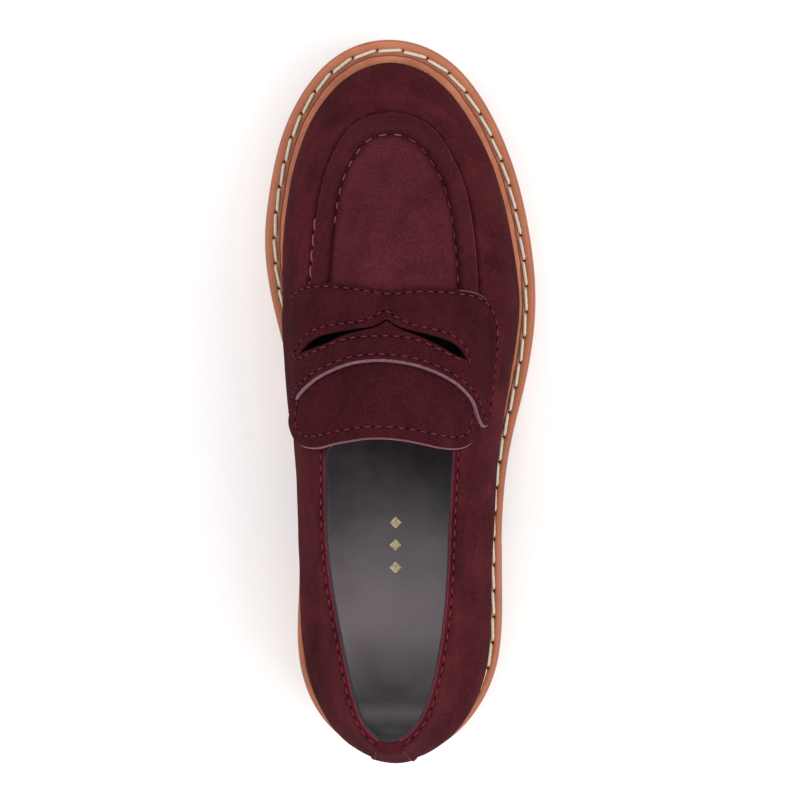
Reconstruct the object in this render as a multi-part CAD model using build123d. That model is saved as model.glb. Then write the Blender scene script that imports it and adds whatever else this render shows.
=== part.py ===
from build123d import *
import os

import numpy as np

# Penny loafer, right foot: suede upper on a stitched tan welt, with a platform sole and a low heel.
# +Z is up, +Y points to the toe, +X is the outer (little toe) side. The origin is on the ground under
# the middle of the shoe. All lengths are in millimetres.
#
# The upper follows one form, the last. Stations go round the sole from the back of the heel, along the
# inner side, round the toe and back along the outer side. At each station a wall rises from the feather
# line, where the upper meets the welt, to the rim: the topline at the foot opening, and the seam of the
# apron (the plug on top of the toes) in front of it. Every layer of the upper lies at its own depth in
# that wall.

# ---------------------------------------------------------------- driving dimensions
BALL_HEIGHT = 20.5        # top of the midsole under the ball of the foot
HEEL_RISE = 13.5          # how much higher the heel seat is
TOE_SPRING = 8.0          # how much the toe tip is lifted
FLAT_FROM, FLAT_TO = 10.0, 60.0   # the stretch of outsole that lies on the ground
WELT = 3.5
MIDSOLE = 6.0
HEEL_SEAT = 22.0          # underside of the outsole over the heel block
TOP_LIFT = 6.0
HEEL_BREAST = -52.0       # y of the front face of the heel
WELT_TUCK = 3.0           # how far the welt reaches in under the upper
WELT_PITCH, WELT_STITCH = 9.3, 7.4
WELT_CHANNEL = 1.05       # half the width of the channel the welt's stitches lie in
SUEDE = 1.5
STIFFENER = 1.2
LINING = 1.0
GLUE = 0.06               # glue line between two layers
WALL = SUEDE + STIFFENER + LINING + 2 * GLUE
PLUG = 2.2                # padded edge of the apron
UNDER_SADDLE = 0.5        # clearance between the tongue and what it lies on
TONGUE_LINING, TONGUE = 0.8, 1.5
STRAP_BACKING, STRAP = 0.6, 1.5
TONGUE_TOP = UNDER_SADDLE + TONGUE_LINING + 0.1 + TONGUE
HINGE_Y = -4.0            # fold line of the tongue's free end
THREAD = (0.7, 0.4)       # width and height of the fine thread
THREAD_LIFT = 0.50        # middle of the thread above the suede
APRON_SEAM_IN = 6.7       # seam inside the apron's edge
FINE_PITCH, FINE_STITCH = 3.9, 2.4
NAIL = 1.1                # radius of the heel nails

# Insole layers: bottom and top above the midsole.
FILLER = (0.1, 2.0)
SHANK = (0.4, 1.7)
BOARD = (2.1, 4.3)
FOAM = (4.4, 6.9)
SOCK = (7.0, 8.0)
FOIL = (8.05, 8.2)

# Stations: sole edge x, y; feather line's inset; bulge of the wall; inward lean at the rim in degrees;
# rim x, y, z; height of the crown over the rim at that station (0 where the shoe is open).
STATIONS = [
    (-0.5, -128.4, 5.0, 8.0, 14, 0.0, -120.0, 92.0, 0),
    (-23.0, -119.8, 5.4, 7.0, 15, -11.5, -112.2, 90.5, 0),
    (-35.3, -98.0, 5.0, 6.0, 18, -17.5, -94.0, 86.5, 0),
    (-36.4, -72.0, 4.7, 8.0, 20, -22.3, -70.5, 82.5, 0),
    (-35.3, -46.0, 4.6, 9.5, 22, -25.2, -46.0, 81.0, 12),
    (-36.2, -20.0, 4.8, 7.4, 38, -25.5, -19.5, 82.5, 14.5),
    (-39.6, 5.0, 6.2, 3.8, 48, -27.5, 5.0, 83.0, 10),
    (-45.9, 30.0, 8.0, 4.0, 50, -28.0, 30.0, 78.0, 6.5),
    (-50.0, 55.0, 9.1, 3.5, 45, -27.1, 54.8, 71.0, 4.5),
    (-47.9, 78.7, 9.2, 3.5, 42, -24.0, 77.8, 66.0, 3.2),
    (-41.1, 102.4, 9.5, 3.5, 40, -16.8, 93.2, 64.0, 2.2),
    (-25.3, 123.5, 9.9, 3.5, 40, -9.3, 98.7, 63.5, 1.2),
    (-3.1, 130.6, 9.3, 3.5, 40, -0.6, 100.2, 63.5, 0),
    (17.9, 122.9, 9.3, 3.5, 40, 7.8, 98.2, 63.5, 1.2),
    (32.5, 104.5, 8.8, 3.5, 40, 15.8, 91.8, 64.0, 2.2),
    (41.7, 82.5, 8.2, 3.5, 42, 23.6, 76.6, 66.0, 3.2),
    (47.0, 59.0, 7.8, 3.5, 45, 27.8, 57.5, 70.5, 4.5),
    (48.9, 34.0, 7.5, 4.0, 50, 29.3, 33.0, 77.0, 6.5),
    (45.5, 7.5, 7.2, 3.6, 48, 27.2, 7.0, 83.0, 10),
    (39.5, -19.0, 5.6, 4.8, 38, 24.8, -18.5, 82.0, 14.5),
    (37.0, -46.0, 4.8, 7.0, 22, 23.4, -46.0, 80.0, 12),
    (36.9, -72.0, 5.0, 5.2, 20, 22.2, -70.5, 81.5, 0),
    (34.6, -97.5, 5.5, 8.0, 18, 18.8, -94.5, 86.0, 0),
    (21.0, -119.6, 5.4, 9.5, 15, 12.3, -112.2, 90.5, 0),
]
LAPS = len(STATIONS)

# Plan outlines over the instep, in the same frame.
STRAP_FRONT = [(-46, 20), (-39.8, 29.4), (-36.5, 35), (-30, 40.2), (-1, 37.2), (22, 38.2), (29, 36),
               (33.5, 31), (36, 24)]
STRAP_REAR = [(-46, -8), (-34, 1.7), (-27.1, 6.4), (-18.3, 11), (-1.3, 13.6), (10.7, 10.9), (22.5, 4.1),
              (27.8, -0.5), (31, -7.7), (33.6, -9.4), (35.4, -8)]
SLOT = [(-30.4, 18.0), (-26.5, 21.0), (-17.5, 23.5), (-5.8, 25.8), (-1.5, 27.7), (5.1, 24.3),
        (11.8, 22.7), (20.7, 20.2), (24.2, 14.9), (20.7, 17.3), (16.1, 19.5), (11.8, 22.0),
        (5.0, 23.6), (-1.5, 26.9), (-5.8, 25.0), (-12.0, 23.4), (-17.5, 22.2), (-21.0, 20.3),
        (-25.1, 18.9)]
TONGUE_REAR = [(-44, -11), (-36.2, -12.8), (-33.7, -15.3), (-28, -16.4), (-18.1, -14.7), (-3, -12.6),
               (10.8, -14.2), (22.5, -16.4), (28.5, -15.6), (32, -14), (44, -13.5)]
FOLD = [(-44, -7), (-30, -5.5), (-18, HINGE_Y), (16, HINGE_Y), (24, -6), (32, -10.0), (44, -10.5)]


# ---------------------------------------------------------------- curves and surfaces of the last
def closed_curve(values):
    """A smooth closed curve that passes value k at u = k, as a function of u."""
    p = np.array(values, float)
    eye = np.eye(LAPS)
    system = 4 * eye + np.roll(eye, 1, 0) + np.roll(eye, -1, 0)
    slope = np.linalg.solve(system, 3 * (np.roll(p, -1, 0) - np.roll(p, 1, 0)))

    def at(u):
        u = np.mod(np.asarray(u, float), LAPS)
        k = np.floor(u).astype(int) % LAPS
        f = (u - np.floor(u))[..., None]
        j = (k + 1) % LAPS
        swing = f * f * (3 - 2 * f)
        start, end = f * (1 - f) ** 2, f * f * (f - 1)
        return p[k] * (1 - swing) + p[j] * swing + slope[k] * start + slope[j] * end

    return at


sole_edge = closed_curve([s[0:2] for s in STATIONS])
shape = closed_curve([s[2:5] for s in STATIONS])
rim = closed_curve([s[5:8] for s in STATIONS])
crown = closed_curve([s[8:9] for s in STATIONS])


def smooth_step(x):
    x = np.clip(x, 0, 1)
    return x * x * (3 - 2 * x)


def footing(y):
    """Height of the midsole's top, which the upper and the insole stand on."""
    heel = HEEL_RISE * smooth_step((30 - y) / 95)
    toe = TOE_SPRING * (np.clip(y - 45, 0, None) / 85) ** 2
    return BALL_HEIGHT + heel + toe


def ground_line(y):
    """Height of the outsole's underside: flat at the ball, up at the toe and over the heel block."""
    heel = HEEL_SEAT * smooth_step((FLAT_FROM - y) / (FLAT_FROM - HEEL_BREAST))
    toe = (TOE_SPRING - 1) * (np.clip(y - FLAT_TO, 0, None) / 70) ** 2
    return heel + toe


def outward(u):
    """Unit vector in plan, square to the sole's edge."""
    step = 1e-3
    d = sole_edge(u + step) - sole_edge(u - step)
    return np.stack([-d[..., 1], d[..., 0]], -1) / np.linalg.norm(d, axis=-1)[..., None]


def inset_line(u, inset):
    """Points on the sole's outline moved in by inset."""
    return sole_edge(u) - outward(u) * np.asarray(inset)[..., None]


def seam_inset(u):
    """How far in from the sole's edge the welt stitches run: further where the welt is wide."""
    return 2.2 + 0.165 * shape(u)[..., 0]


def wall(u, t):
    """The outer face of the upper: u round the shoe, t from the feather line (0) to the rim (1)."""
    u, t = np.broadcast_arrays(np.asarray(u, float), np.asarray(t, float))
    inset, bulge, lean = np.moveaxis(shape(u), -1, 0)
    flat = inset_line(u, inset)
    foot = np.concatenate([flat, footing(flat[..., 1:2]) + WELT + 0.1], -1)
    top = rim(u)
    out = np.concatenate([outward(u), np.zeros(u.shape + (1,))], -1)
    up = np.array([0.0, 0.0, 1.0])
    tall = (top - foot)[..., 2:3]
    lean = np.radians(lean)[..., None]
    p1 = foot + out * bulge[..., None] + up * tall * 0.42
    p2 = top + (out * np.sin(lean) - up * np.cos(lean)) * tall * 0.36
    t = t[..., None]
    s = 1 - t
    return foot * s ** 3 + p1 * 3 * s * s * t + p2 * 3 * s * t * t + top * t ** 3


def wall_normal(u, t):
    """Outward normal of the wall."""
    e = 1e-3
    n = np.cross(wall(u, t + e) - wall(u, t - e), wall(u + e, t) - wall(u - e, t))
    return n / np.linalg.norm(n, axis=-1)[..., None]


def top_arch(u, across):
    """The top of the foot between the two rims: across runs from the inner rim (0) to the outer (1)."""
    near, far = rim(u), rim(LAPS - np.asarray(u, float))
    across = np.asarray(across, float)[..., None]
    point = near * (1 - across) + far * across
    lift = crown(u) * 4 * across * (1 - across)
    return point + lift * np.array([0.0, 0.0, 1.0])


def saddle(u_values, low=0.3, count=61):
    """Rows of points over the instep, evenly spaced from the inner wall over the top to the outer."""
    rows = []
    for u in u_values:
        t = np.linspace(low, 1, 16)
        inner = wall(np.full(16, u), t)
        top = top_arch(np.full(24, u), np.linspace(0, 1, 24))[1:-1]
        outer = wall(np.full(16, LAPS - u), t[::-1])
        line = np.concatenate([inner, top, outer])
        for _ in range(8):
            line[1:-1] = (line[:-2] + 2 * line[1:-1] + line[2:]) / 4
        run = np.concatenate([[0], np.cumsum(np.linalg.norm(np.diff(line, axis=0), axis=1))])
        at = np.linspace(0, run[-1], count)
        rows.append(np.stack([np.interp(at, run, line[:, k]) for k in range(3)], -1))
    return np.array(rows)


def lifted(grid, height):
    """A grid moved out along its own normals, by one height or one per column."""
    n = np.cross(np.gradient(grid, axis=1), np.gradient(grid, axis=0))
    n /= np.linalg.norm(n, axis=-1)[..., None]
    n *= np.sign(n[..., 2].sum())
    height = np.broadcast_to(np.asarray(height, float), grid.shape[1])
    return grid + n * height[None, :, None]


# ---------------------------------------------------------------- solids from those surfaces
def sheet(grid):
    """A smooth face through a grid of points."""
    return Face.make_surface_from_array_of_points([[tuple(p) for p in row] for row in grid], tol=0.02)


def slab(over, under):
    """The closed solid between two grids of points that face each other."""
    top, bottom = sheet(over), sheet(under)
    sides = []
    for edge in top.edges():
        twin = min(bottom.edges(), key=lambda e: (e.center() - edge.center()).length)
        sides.append(Face.make_surface_from_curves(edge, twin))
    return Solid(Shell([top, bottom, *sides]))


def wall_piece(u_from, u_to, t_from, t_to, depth, thick, rows=40, columns=9):
    """One layer of the upper, between two depths below the wall's outer face."""
    u, t = np.meshgrid(np.linspace(u_from, u_to, rows), np.linspace(t_from, t_to, columns), indexing="ij")
    face, n = wall(u, t), wall_normal(u, t)
    return slab(face - n * depth, face - n * (depth + thick))


def tall(face, low=0, high=120):
    """A flat face at z = 0 made into a block between two heights."""
    return extrude(face, amount=high - low, dir=(0, 0, 1)).moved(Location((0, 0, low)))


def outline(inset):
    """The sole's outline moved in by one inset, or by one for each station, as a flat face at z = 0."""
    u = np.arange(LAPS)
    line = inset_line(u, np.broadcast_to(inset, LAPS))
    edge = Edge.make_spline([(x, y, 0) for x, y in line], periodic=True, parameters=list(range(LAPS + 1)))
    return Face(Wire([edge]))


def between(low, high, y_from=-140.0, y_to=140.0):
    """Everything between two heights that depend on y, as wide as the shoe and more."""
    y = np.arange(y_from, y_to + 1, 7.0)
    top = Edge.make_spline([(0, v, float(high(v))) for v in y])
    bottom = Edge.make_spline([(0, v, float(low(v))) for v in y])
    ends = [Edge.make_line(top @ k, bottom @ k) for k in (0, 1)]
    return extrude(Face(Wire([top, bottom, *ends])), amount=70, dir=(1, 0, 0), both=True)


def at_footing(heights):
    """Everything between two heights above the midsole."""
    return between(lambda y: footing(y) + heights[0], lambda y: footing(y) + heights[1])


def layer(inset, low, high):
    """A flat sole piece: the outline moved in, between two heights above the midsole's top."""
    return tall(outline(inset)) & at_footing((low, high))


def plan_prism(front, rear):
    """A tall block that covers the plan area between two lines that run from inner to outer side."""
    ahead = Edge.make_spline([(x, y, 40) for x, y in front])
    behind = Edge.make_spline([(x, y, 40) for x, y in rear])
    ends = [Edge.make_line(ahead @ k, behind @ k) for k in (0, 1)]
    return tall(Face(Wire([ahead, behind, *ends])), 0, 90)


def stitches(line, normals, pitch, length, width, height):
    """Short threads laid end to end along a line of points."""
    run = np.concatenate([[0], np.cumsum(np.linalg.norm(np.diff(line, axis=0), axis=1))])
    count = int(run[-1] // pitch)

    def at(values, where):
        return np.array([np.interp(where, run, values[:, k]) for k in range(3)])

    made = []
    for k in range(count):
        middle = (k + 0.5) * run[-1] / count
        along = at(line, middle + 1) - at(line, middle - 1)
        along /= np.linalg.norm(along)
        up = at(normals, middle)
        up -= along * up.dot(along)
        place = Plane(origin=tuple(at(line, middle)), x_dir=tuple(along), z_dir=tuple(up))
        made.append(place * Box(length, width, height))
    return Compound(children=made)


# ---------------------------------------------------------------- the sole
def make_outsole():
    body = tall(outline(0.8))
    body &= between(ground_line, lambda y: footing(y) - MIDSOLE)
    for y in range(16, 112, 8):
        groove = Box(70, 2.4, 4).moved(Location((0, y, float(ground_line(y)))))
        body -= groove
    return body - nail_holes()


def make_midsole():
    return layer(0.3, -MIDSOLE, 0) - nail_holes()


def heel_block(low, high, inset):
    block = tall(outline(inset), low, high)
    breast = Pos(0, HEEL_BREAST + 95, 0) * Cylinder(100, 120)
    return block - breast - Pos(0, HEEL_BREAST + 140, 0) * Box(200, 270, 200)


def nail_shafts(radius):
    """The heel nails: upright, from inside the heel block up into the midsole."""
    spots = [(-14, -72), (14, -72), (-17, -95), (16, -95), (-0.5, -112)]
    low, high = TOP_LIFT + 2, HEEL_SEAT + MIDSOLE * 2 - 1
    shaft = Cylinder(radius, high - low)
    return Compound(children=[Pos(x, y, (low + high) / 2) * shaft for x, y in spots])


def nail_holes():
    return nail_shafts(NAIL + 0.05)


def make_welt():
    """A flat ring under the edge of the upper, with a channel for its seam."""
    ring = layer(0, 0, WELT) - tall(outline(feather_inset() + WELT_TUCK))
    seam = seam_inset(np.arange(LAPS))
    outer = layer(seam - WELT_CHANNEL, WELT - 0.9, WELT + 2)
    inner = layer(seam + WELT_CHANNEL, WELT - 2, WELT + 3)
    return ring - (outer - inner)


def make_welt_stitches():
    u = np.linspace(0, LAPS, 700)
    flat = inset_line(u, seam_inset(u))
    height = footing(flat[:, 1:2]) + WELT
    line = np.concatenate([flat, height], 1)
    up = np.tile([0.0, 0.0, 1.0], (len(u), 1))
    return stitches(line, up, WELT_PITCH, WELT_STITCH, 1.2, 1.0)


def feather_inset():
    """How far in from the sole's edge the upper meets the welt, at each station."""
    return np.array([s[2] for s in STATIONS])


def insole_layer(heights, clearance=0.4):
    """A flat piece that fills the bottom of the shoe inside the lining."""
    return layer(feather_inset() + WALL + clearance, *heights)


def shank_area(margin):
    return Pos(0, -28, 60) * Box(13 + 2 * margin, 104 + 2 * margin, 120)


def make_filler():
    return insole_layer(FILLER) - shank_area(0.3)


def make_shank():
    return shank_area(0) & at_footing(SHANK)


def make_foil():
    """A plain ornament in pale gold foil on the sock: three lozenges in a row."""
    marks = Compound(children=[Pos(-1, y, 60) * Rot(0, 0, 45) * Box(3, 3, 120) for y in (-60, -52, -44)])
    return marks & at_footing(FOIL)


# ---------------------------------------------------------------- the upper
def make_apron():
    u = 12 - 0.03 - (12 - 0.03 - 6.7) * np.linspace(0, 1, 34) ** 1.4
    u, across = np.meshgrid(u, np.linspace(-0.02, 1.02, 15), indexing="ij")
    base = top_arch(u, across)
    up = np.array([0.0, 0.0, 1.0])
    return slab(base + up * (0.1 + PLUG), base + up * 0.1)


def make_apron_lining():
    u, across = np.meshgrid(np.linspace(11.2, 5.75, 26), np.linspace(0.14, 0.86, 13), indexing="ij")
    base = top_arch(u, across)
    up = np.array([0.0, 0.0, 1.0])
    return slab(base - up * 0.2, base - up * (0.2 + LINING))


def make_binding():
    """The rolled edge round the foot opening."""
    u, across = np.meshgrid(np.linspace(-4.85, 4.85, 70), np.linspace(0, 1, 7), indexing="ij")
    edge, n = wall(u, 1.0), wall_normal(u, 0.999)
    along = edge - wall(u, 0.98)
    along /= np.linalg.norm(along, axis=-1)[..., None]
    base = edge - n * (across * WALL)[..., None]
    rise = 0.5 + 0.9 * np.sin(np.pi * across)
    return slab(base + along * (0.08 + rise[..., None]), base + along * 0.08)


SADDLE_U = np.linspace(4.5, 8.1, 25)


def saddle_slab(low, inner, thick, u_values=SADDLE_U):
    """A layer over the instep; inner is its height over the form, one value or one per column."""
    grid = saddle(u_values, low)
    inner = np.broadcast_to(inner, grid.shape[1])
    return slab(lifted(grid, inner + thick), lifted(grid, inner))


def strap_height():
    """Height of the strap over the form: it clears the tongue on top and lies on the walls below."""
    w = np.abs(np.linspace(-1, 1, 61))
    over_tongue = UNDER_SADDLE + TONGUE_LINING + TONGUE + PLUG * 0.3 + 0.5
    return over_tongue + (0.35 - over_tongue) * smooth_step((w - 0.72) / 0.24)


def make_strap():
    return saddle_slab(0.42, strap_height() + STRAP_BACKING + 0.15, STRAP) \
        & plan_prism(STRAP_FRONT, STRAP_REAR) - slot_block()


def make_strap_backing():
    front = [(x, y - 1.2) for x, y in STRAP_FRONT]
    rear = [(x, y + 1.2) for x, y in STRAP_REAR]
    return saddle_slab(0.46, strap_height(), STRAP_BACKING) & plan_prism(front, rear) - slot_block()


def slot_block():
    """The penny slot: two narrow crescents joined under the notch."""
    return tall(Face(Wire.make_polygon([(x, y, 0) for x, y in SLOT])), 40, 130)


def tongue_piece(height, thick, front, rear):
    return saddle_slab(0.74, height, thick, np.linspace(4.5, 7.2, 20)) & plan_prism(front, rear)


def shifted(line, dy):
    return [(x, y + dy) for x, y in line]


def threads(grid, plan_lines, pitch, length):
    """Stitches that follow lines given in plan, laid on a surface given as a grid of points."""
    points = grid.reshape(-1, 3)
    normals = (lifted(grid, 1.0) - grid).reshape(-1, 3)
    rows = []
    for plan in plan_lines:
        curve = Edge.make_spline([(x, y, 0) for x, y in plan])
        flat = np.array([tuple(curve @ f)[:2] for f in np.linspace(0, 1, 160)])
        near = np.array([np.argmin(((points[:, :2] - p) ** 2).sum(1)) for p in flat])
        line = np.concatenate([flat, points[near, 2:3]], 1) + normals[near] * THREAD_LIFT
        rows.append(stitches(line, normals[near], pitch, length, *THREAD))
    return Compound(children=[solid for row in rows for solid in row.solids()])


def make_apron_stitches():
    """The seam that gathers the padded edge of the apron, a little inside that edge."""
    u = np.linspace(7.1, 16.9, 25)
    centre_line = rim(u)[:, :2] - outward(u) * APRON_SEAM_IN
    rows, across = np.meshgrid(np.linspace(11.97, 6.7, 90), np.linspace(0, 1, 90), indexing="ij")
    top = top_arch(rows, across) + np.array([0.0, 0.0, PLUG + 0.1])
    return threads(top, [[tuple(p) for p in centre_line]], 5.9, 3.4)


def make_strap_stitches():
    """Edge stitching of the saddle strap, and the two rows that follow the penny slot."""
    top = lifted(saddle(np.linspace(4.5, 8.1, 120), 0.42, 161),
                 np.interp(np.linspace(0, 60, 161), range(61), strap_height()) + STRAP_BACKING + STRAP + 0.15)
    front = [(x, y - 1.8) for x, y in STRAP_FRONT[2:-2]]
    rear = [(x, y + 2.2) for x, y in STRAP_REAR[1:-3]]
    above = [(-28, 24.5), (-17.5, 26.5), (-7, 28.5), (-1.5, 31.0), (5, 27.0), (17, 24.0), (25, 20)]
    below = [(-24, 15.5), (-14, 19.5), (-1.5, 21.8), (11, 19.3), (21, 15)]
    return threads(top, [front, rear, above, below], 3.8, 2.3)


def make_tongue_stitches():
    """Stitching along the free end of the tongue."""
    top = lifted(saddle(np.linspace(4.5, 6.2, 90), 0.74, 161), TONGUE_TOP)
    line = [(-27, -11.5), (-16, -10.8), (-3, -9.0), (10, -10.2), (22, -12.0)]
    return threads(top, [line], FINE_PITCH, FINE_STITCH)


def make_topline_stitches():
    """Stitching that holds the rolled edge round the foot opening, on both sides of the heel strip."""
    rows = []
    for start, end in ((-4.7, -0.5), (0.5, 4.7)):
        u = np.linspace(start, end, 200)
        n = wall_normal(u, 0.95)
        rows.append(stitches(wall(u, 0.95) + n * THREAD_LIFT, n, FINE_PITCH, FINE_STITCH, *THREAD))
    return Compound(children=[solid for row in rows for solid in row.solids()])


def make_parts():
    hidden = [(-44, 21), (0, 21), (44, 21)]
    lining_high, tongue_high = UNDER_SADDLE, UNDER_SADDLE + TONGUE_LINING + 0.1
    depth_2 = SUEDE + GLUE
    depth_3 = depth_2 + STIFFENER + GLUE
    return {
        "outsole": make_outsole(),
        "midsole": make_midsole(),
        "heel_block": heel_block(TOP_LIFT, HEEL_SEAT, 1.2) - nail_holes(),
        "top_lift": heel_block(0, TOP_LIFT, 0.8),
        "heel_nails": nail_shafts(NAIL),
        "welt": make_welt(),
        "welt_stitches": make_welt_stitches(),
        "bottom_filler": make_filler(),
        "shank": make_shank(),
        "insole_board": insole_layer(BOARD),
        "footbed_foam": insole_layer(FOAM, 0.5),
        "sock_lining": insole_layer(SOCK),
        "foil_ornament": make_foil(),
        "vamp": wall_piece(5.36, 18.64, 0, 1, 0, SUEDE, 80, 12),
        "medial_quarter": wall_piece(0.36, 5.32, 0, 1, 0, SUEDE),
        "lateral_quarter": wall_piece(18.68, 23.64, 0, 1, 0, SUEDE),
        "heel_strip": wall_piece(-0.34, 0.34, 0, 1, -0.5, SUEDE + 0.5, 9),
        "heel_counter": wall_piece(-3, 3, 0, 0.6, depth_2, STIFFENER),
        "collar_padding": wall_piece(-4.8, 4.8, 0.64, 0.97, depth_2, STIFFENER, 60, 5),
        "toe_puff": wall_piece(9, 15, 0, 0.85, depth_2, STIFFENER),
        "quarter_lining": wall_piece(-5.3, 5.3, 0.0, 1, depth_3, LINING, 70),
        "vamp_lining": wall_piece(5.34, 18.66, 0.0, 0.97, depth_3, LINING, 80, 12),
        "topline_binding": make_binding(),
        "apron": make_apron(),
        "apron_lining": make_apron_lining(),
        "tongue": tongue_piece(tongue_high, TONGUE, hidden, FOLD),
        "tongue_lining": tongue_piece(lining_high, TONGUE_LINING, hidden, FOLD),
        "tongue_flap": tongue_piece(tongue_high, TONGUE, shifted(FOLD, -0.5), TONGUE_REAR),
        "tongue_flap_lining": tongue_piece(lining_high, TONGUE_LINING, shifted(FOLD, -0.5),
                                           shifted(TONGUE_REAR, 0.5)),
        "saddle_strap": make_strap(),
        "strap_backing": make_strap_backing(),
        "apron_stitches": make_apron_stitches(),
        "strap_stitches": make_strap_stitches(),
        "tongue_flap_stitches": make_tongue_stitches(),
        "topline_stitches": make_topline_stitches(),
    }


os.makedirs("parts", exist_ok=True)
for name, solid in make_parts().items():
    export_step(solid, f"parts/{name}.step")
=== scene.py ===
import math

import bmesh
import bpy
import numpy as np
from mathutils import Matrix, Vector


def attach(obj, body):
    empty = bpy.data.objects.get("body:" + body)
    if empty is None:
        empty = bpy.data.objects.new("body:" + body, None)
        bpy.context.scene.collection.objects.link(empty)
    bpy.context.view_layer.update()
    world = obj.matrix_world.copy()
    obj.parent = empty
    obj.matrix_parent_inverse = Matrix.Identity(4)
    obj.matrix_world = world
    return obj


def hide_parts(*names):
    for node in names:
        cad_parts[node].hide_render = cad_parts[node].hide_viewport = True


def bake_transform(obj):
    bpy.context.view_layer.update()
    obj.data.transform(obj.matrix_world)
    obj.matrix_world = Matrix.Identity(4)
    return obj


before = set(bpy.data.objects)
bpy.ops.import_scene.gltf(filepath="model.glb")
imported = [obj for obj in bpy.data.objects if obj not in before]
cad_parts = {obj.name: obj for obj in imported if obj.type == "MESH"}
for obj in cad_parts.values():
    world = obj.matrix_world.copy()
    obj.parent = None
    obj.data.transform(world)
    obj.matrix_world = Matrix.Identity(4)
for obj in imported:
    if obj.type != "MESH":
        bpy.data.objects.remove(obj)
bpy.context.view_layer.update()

# The looks of a suede penny loafer. Shapes are worked out in millimetres from the same last as the CAD
# part: stations go round the sole from the back of the heel, along the inner side, round the toe and
# back along the outer side, and a wall rises from the feather line to the rim at each.

MM = 0.001
SHOE, TONGUE_END = "shoe", "tongue_end"

BALL_HEIGHT, HEEL_RISE, TOE_SPRING = 20.5, 13.5, 8.0
FLAT_FROM, FLAT_TO = 10.0, 60.0
WELT, MIDSOLE, HEEL_SEAT, TOP_LIFT, HEEL_BREAST = 3.5, 6.0, 22.0, 6.0, -52.0
SUEDE, WALL = 1.5, 3.82
WELT_PITCH, APRON_PITCH = 9.3, 5.4
FINE_PITCH, FINE_SHARE, FINE_RISE = 3.9, 0.54, 0.16
# Places round the shoe, in stations from the back of the heel: half of the heel strip, the front end of
# the foot opening, the side seam and the rear end of the apron.
STRIP_HALF, OPENING_END, SIDE_SEAM, APRON_START = 0.385, 5.3, 5.34, 7.04

# Sole edge x, y; feather line's inset; bulge; inward lean at the rim; rim x, y, z; crown over the rim.
STATIONS = [
    (-0.5, -128.4, 5.0, 8.0, 14, 0.0, -120.0, 92.0, 0),
    (-23.0, -119.8, 5.4, 7.0, 15, -11.5, -112.2, 90.5, 0),
    (-35.3, -98.0, 5.0, 6.0, 18, -17.5, -94.0, 86.5, 0),
    (-36.4, -72.0, 4.7, 8.0, 20, -22.3, -70.5, 82.5, 0),
    (-35.3, -46.0, 4.6, 9.5, 22, -25.2, -46.0, 81.0, 12),
    (-36.2, -20.0, 4.8, 7.4, 38, -25.5, -19.5, 82.5, 14.5),
    (-39.6, 5.0, 6.2, 3.8, 48, -27.5, 5.0, 83.0, 10),
    (-45.9, 30.0, 8.0, 4.0, 50, -28.0, 30.0, 78.0, 6.5),
    (-50.0, 55.0, 9.1, 3.5, 45, -27.1, 54.8, 71.0, 4.5),
    (-47.9, 78.7, 9.2, 3.5, 42, -24.0, 77.8, 66.0, 3.2),
    (-41.1, 102.4, 9.5, 3.5, 40, -16.8, 93.2, 64.0, 2.2),
    (-25.3, 123.5, 9.9, 3.5, 40, -9.3, 98.7, 63.5, 1.2),
    (-3.1, 130.6, 9.3, 3.5, 40, -0.6, 100.2, 63.5, 0),
    (17.9, 122.9, 9.3, 3.5, 40, 7.8, 98.2, 63.5, 1.2),
    (32.5, 104.5, 8.8, 3.5, 40, 15.8, 91.8, 64.0, 2.2),
    (41.7, 82.5, 8.2, 3.5, 42, 23.6, 76.6, 66.0, 3.2),
    (47.0, 59.0, 7.8, 3.5, 45, 27.8, 57.5, 70.5, 4.5),
    (48.9, 34.0, 7.5, 4.0, 50, 29.3, 33.0, 77.0, 6.5),
    (45.5, 7.5, 7.2, 3.6, 48, 27.2, 7.0, 83.0, 10),
    (39.5, -19.0, 5.6, 4.8, 38, 24.8, -18.5, 82.0, 14.5),
    (37.0, -46.0, 4.8, 7.0, 22, 23.4, -46.0, 80.0, 12),
    (36.9, -72.0, 5.0, 5.2, 20, 22.2, -70.5, 81.5, 0),
    (34.6, -97.5, 5.5, 8.0, 18, 18.8, -94.5, 86.0, 0),
    (21.0, -119.6, 5.4, 9.5, 15, 12.3, -112.2, 90.5, 0),
]
LAPS = len(STATIONS)
UP = np.array([0.0, 0.0, 1.0])


# ---------------------------------------------------------------- curves and surfaces of the last
def closed_curve(values):
    """A smooth closed curve that passes value k at u = k, as a function of u."""
    p = np.array(values, float)
    eye = np.eye(LAPS)
    system = 4 * eye + np.roll(eye, 1, 0) + np.roll(eye, -1, 0)
    slope = np.linalg.solve(system, 3 * (np.roll(p, -1, 0) - np.roll(p, 1, 0)))

    def at(u):
        u = np.mod(np.asarray(u, float), LAPS)
        k = np.floor(u).astype(int) % LAPS
        f = (u - np.floor(u))[..., None]
        j = (k + 1) % LAPS
        swing = f * f * (3 - 2 * f)
        start, end = f * (1 - f) ** 2, f * f * (f - 1)
        return p[k] * (1 - swing) + p[j] * swing + slope[k] * start + slope[j] * end

    return at


def open_curve(x, y):
    """A smooth function through points whose x only grows, flat outside them."""
    x, y = np.array(x, float), np.array(y, float)
    slope = np.gradient(y, x)

    def at(v):
        v = np.clip(v, x[0], x[-1])
        k = np.clip(np.searchsorted(x, v, side="right") - 1, 0, len(x) - 2)
        h = x[k + 1] - x[k]
        f = (v - x[k]) / h
        swing = f * f * (3 - 2 * f)
        start, end = f * (1 - f) ** 2 * h, f * f * (f - 1) * h
        return y[k] * (1 - swing) + y[k + 1] * swing + slope[k] * start + slope[k + 1] * end

    return at


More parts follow.
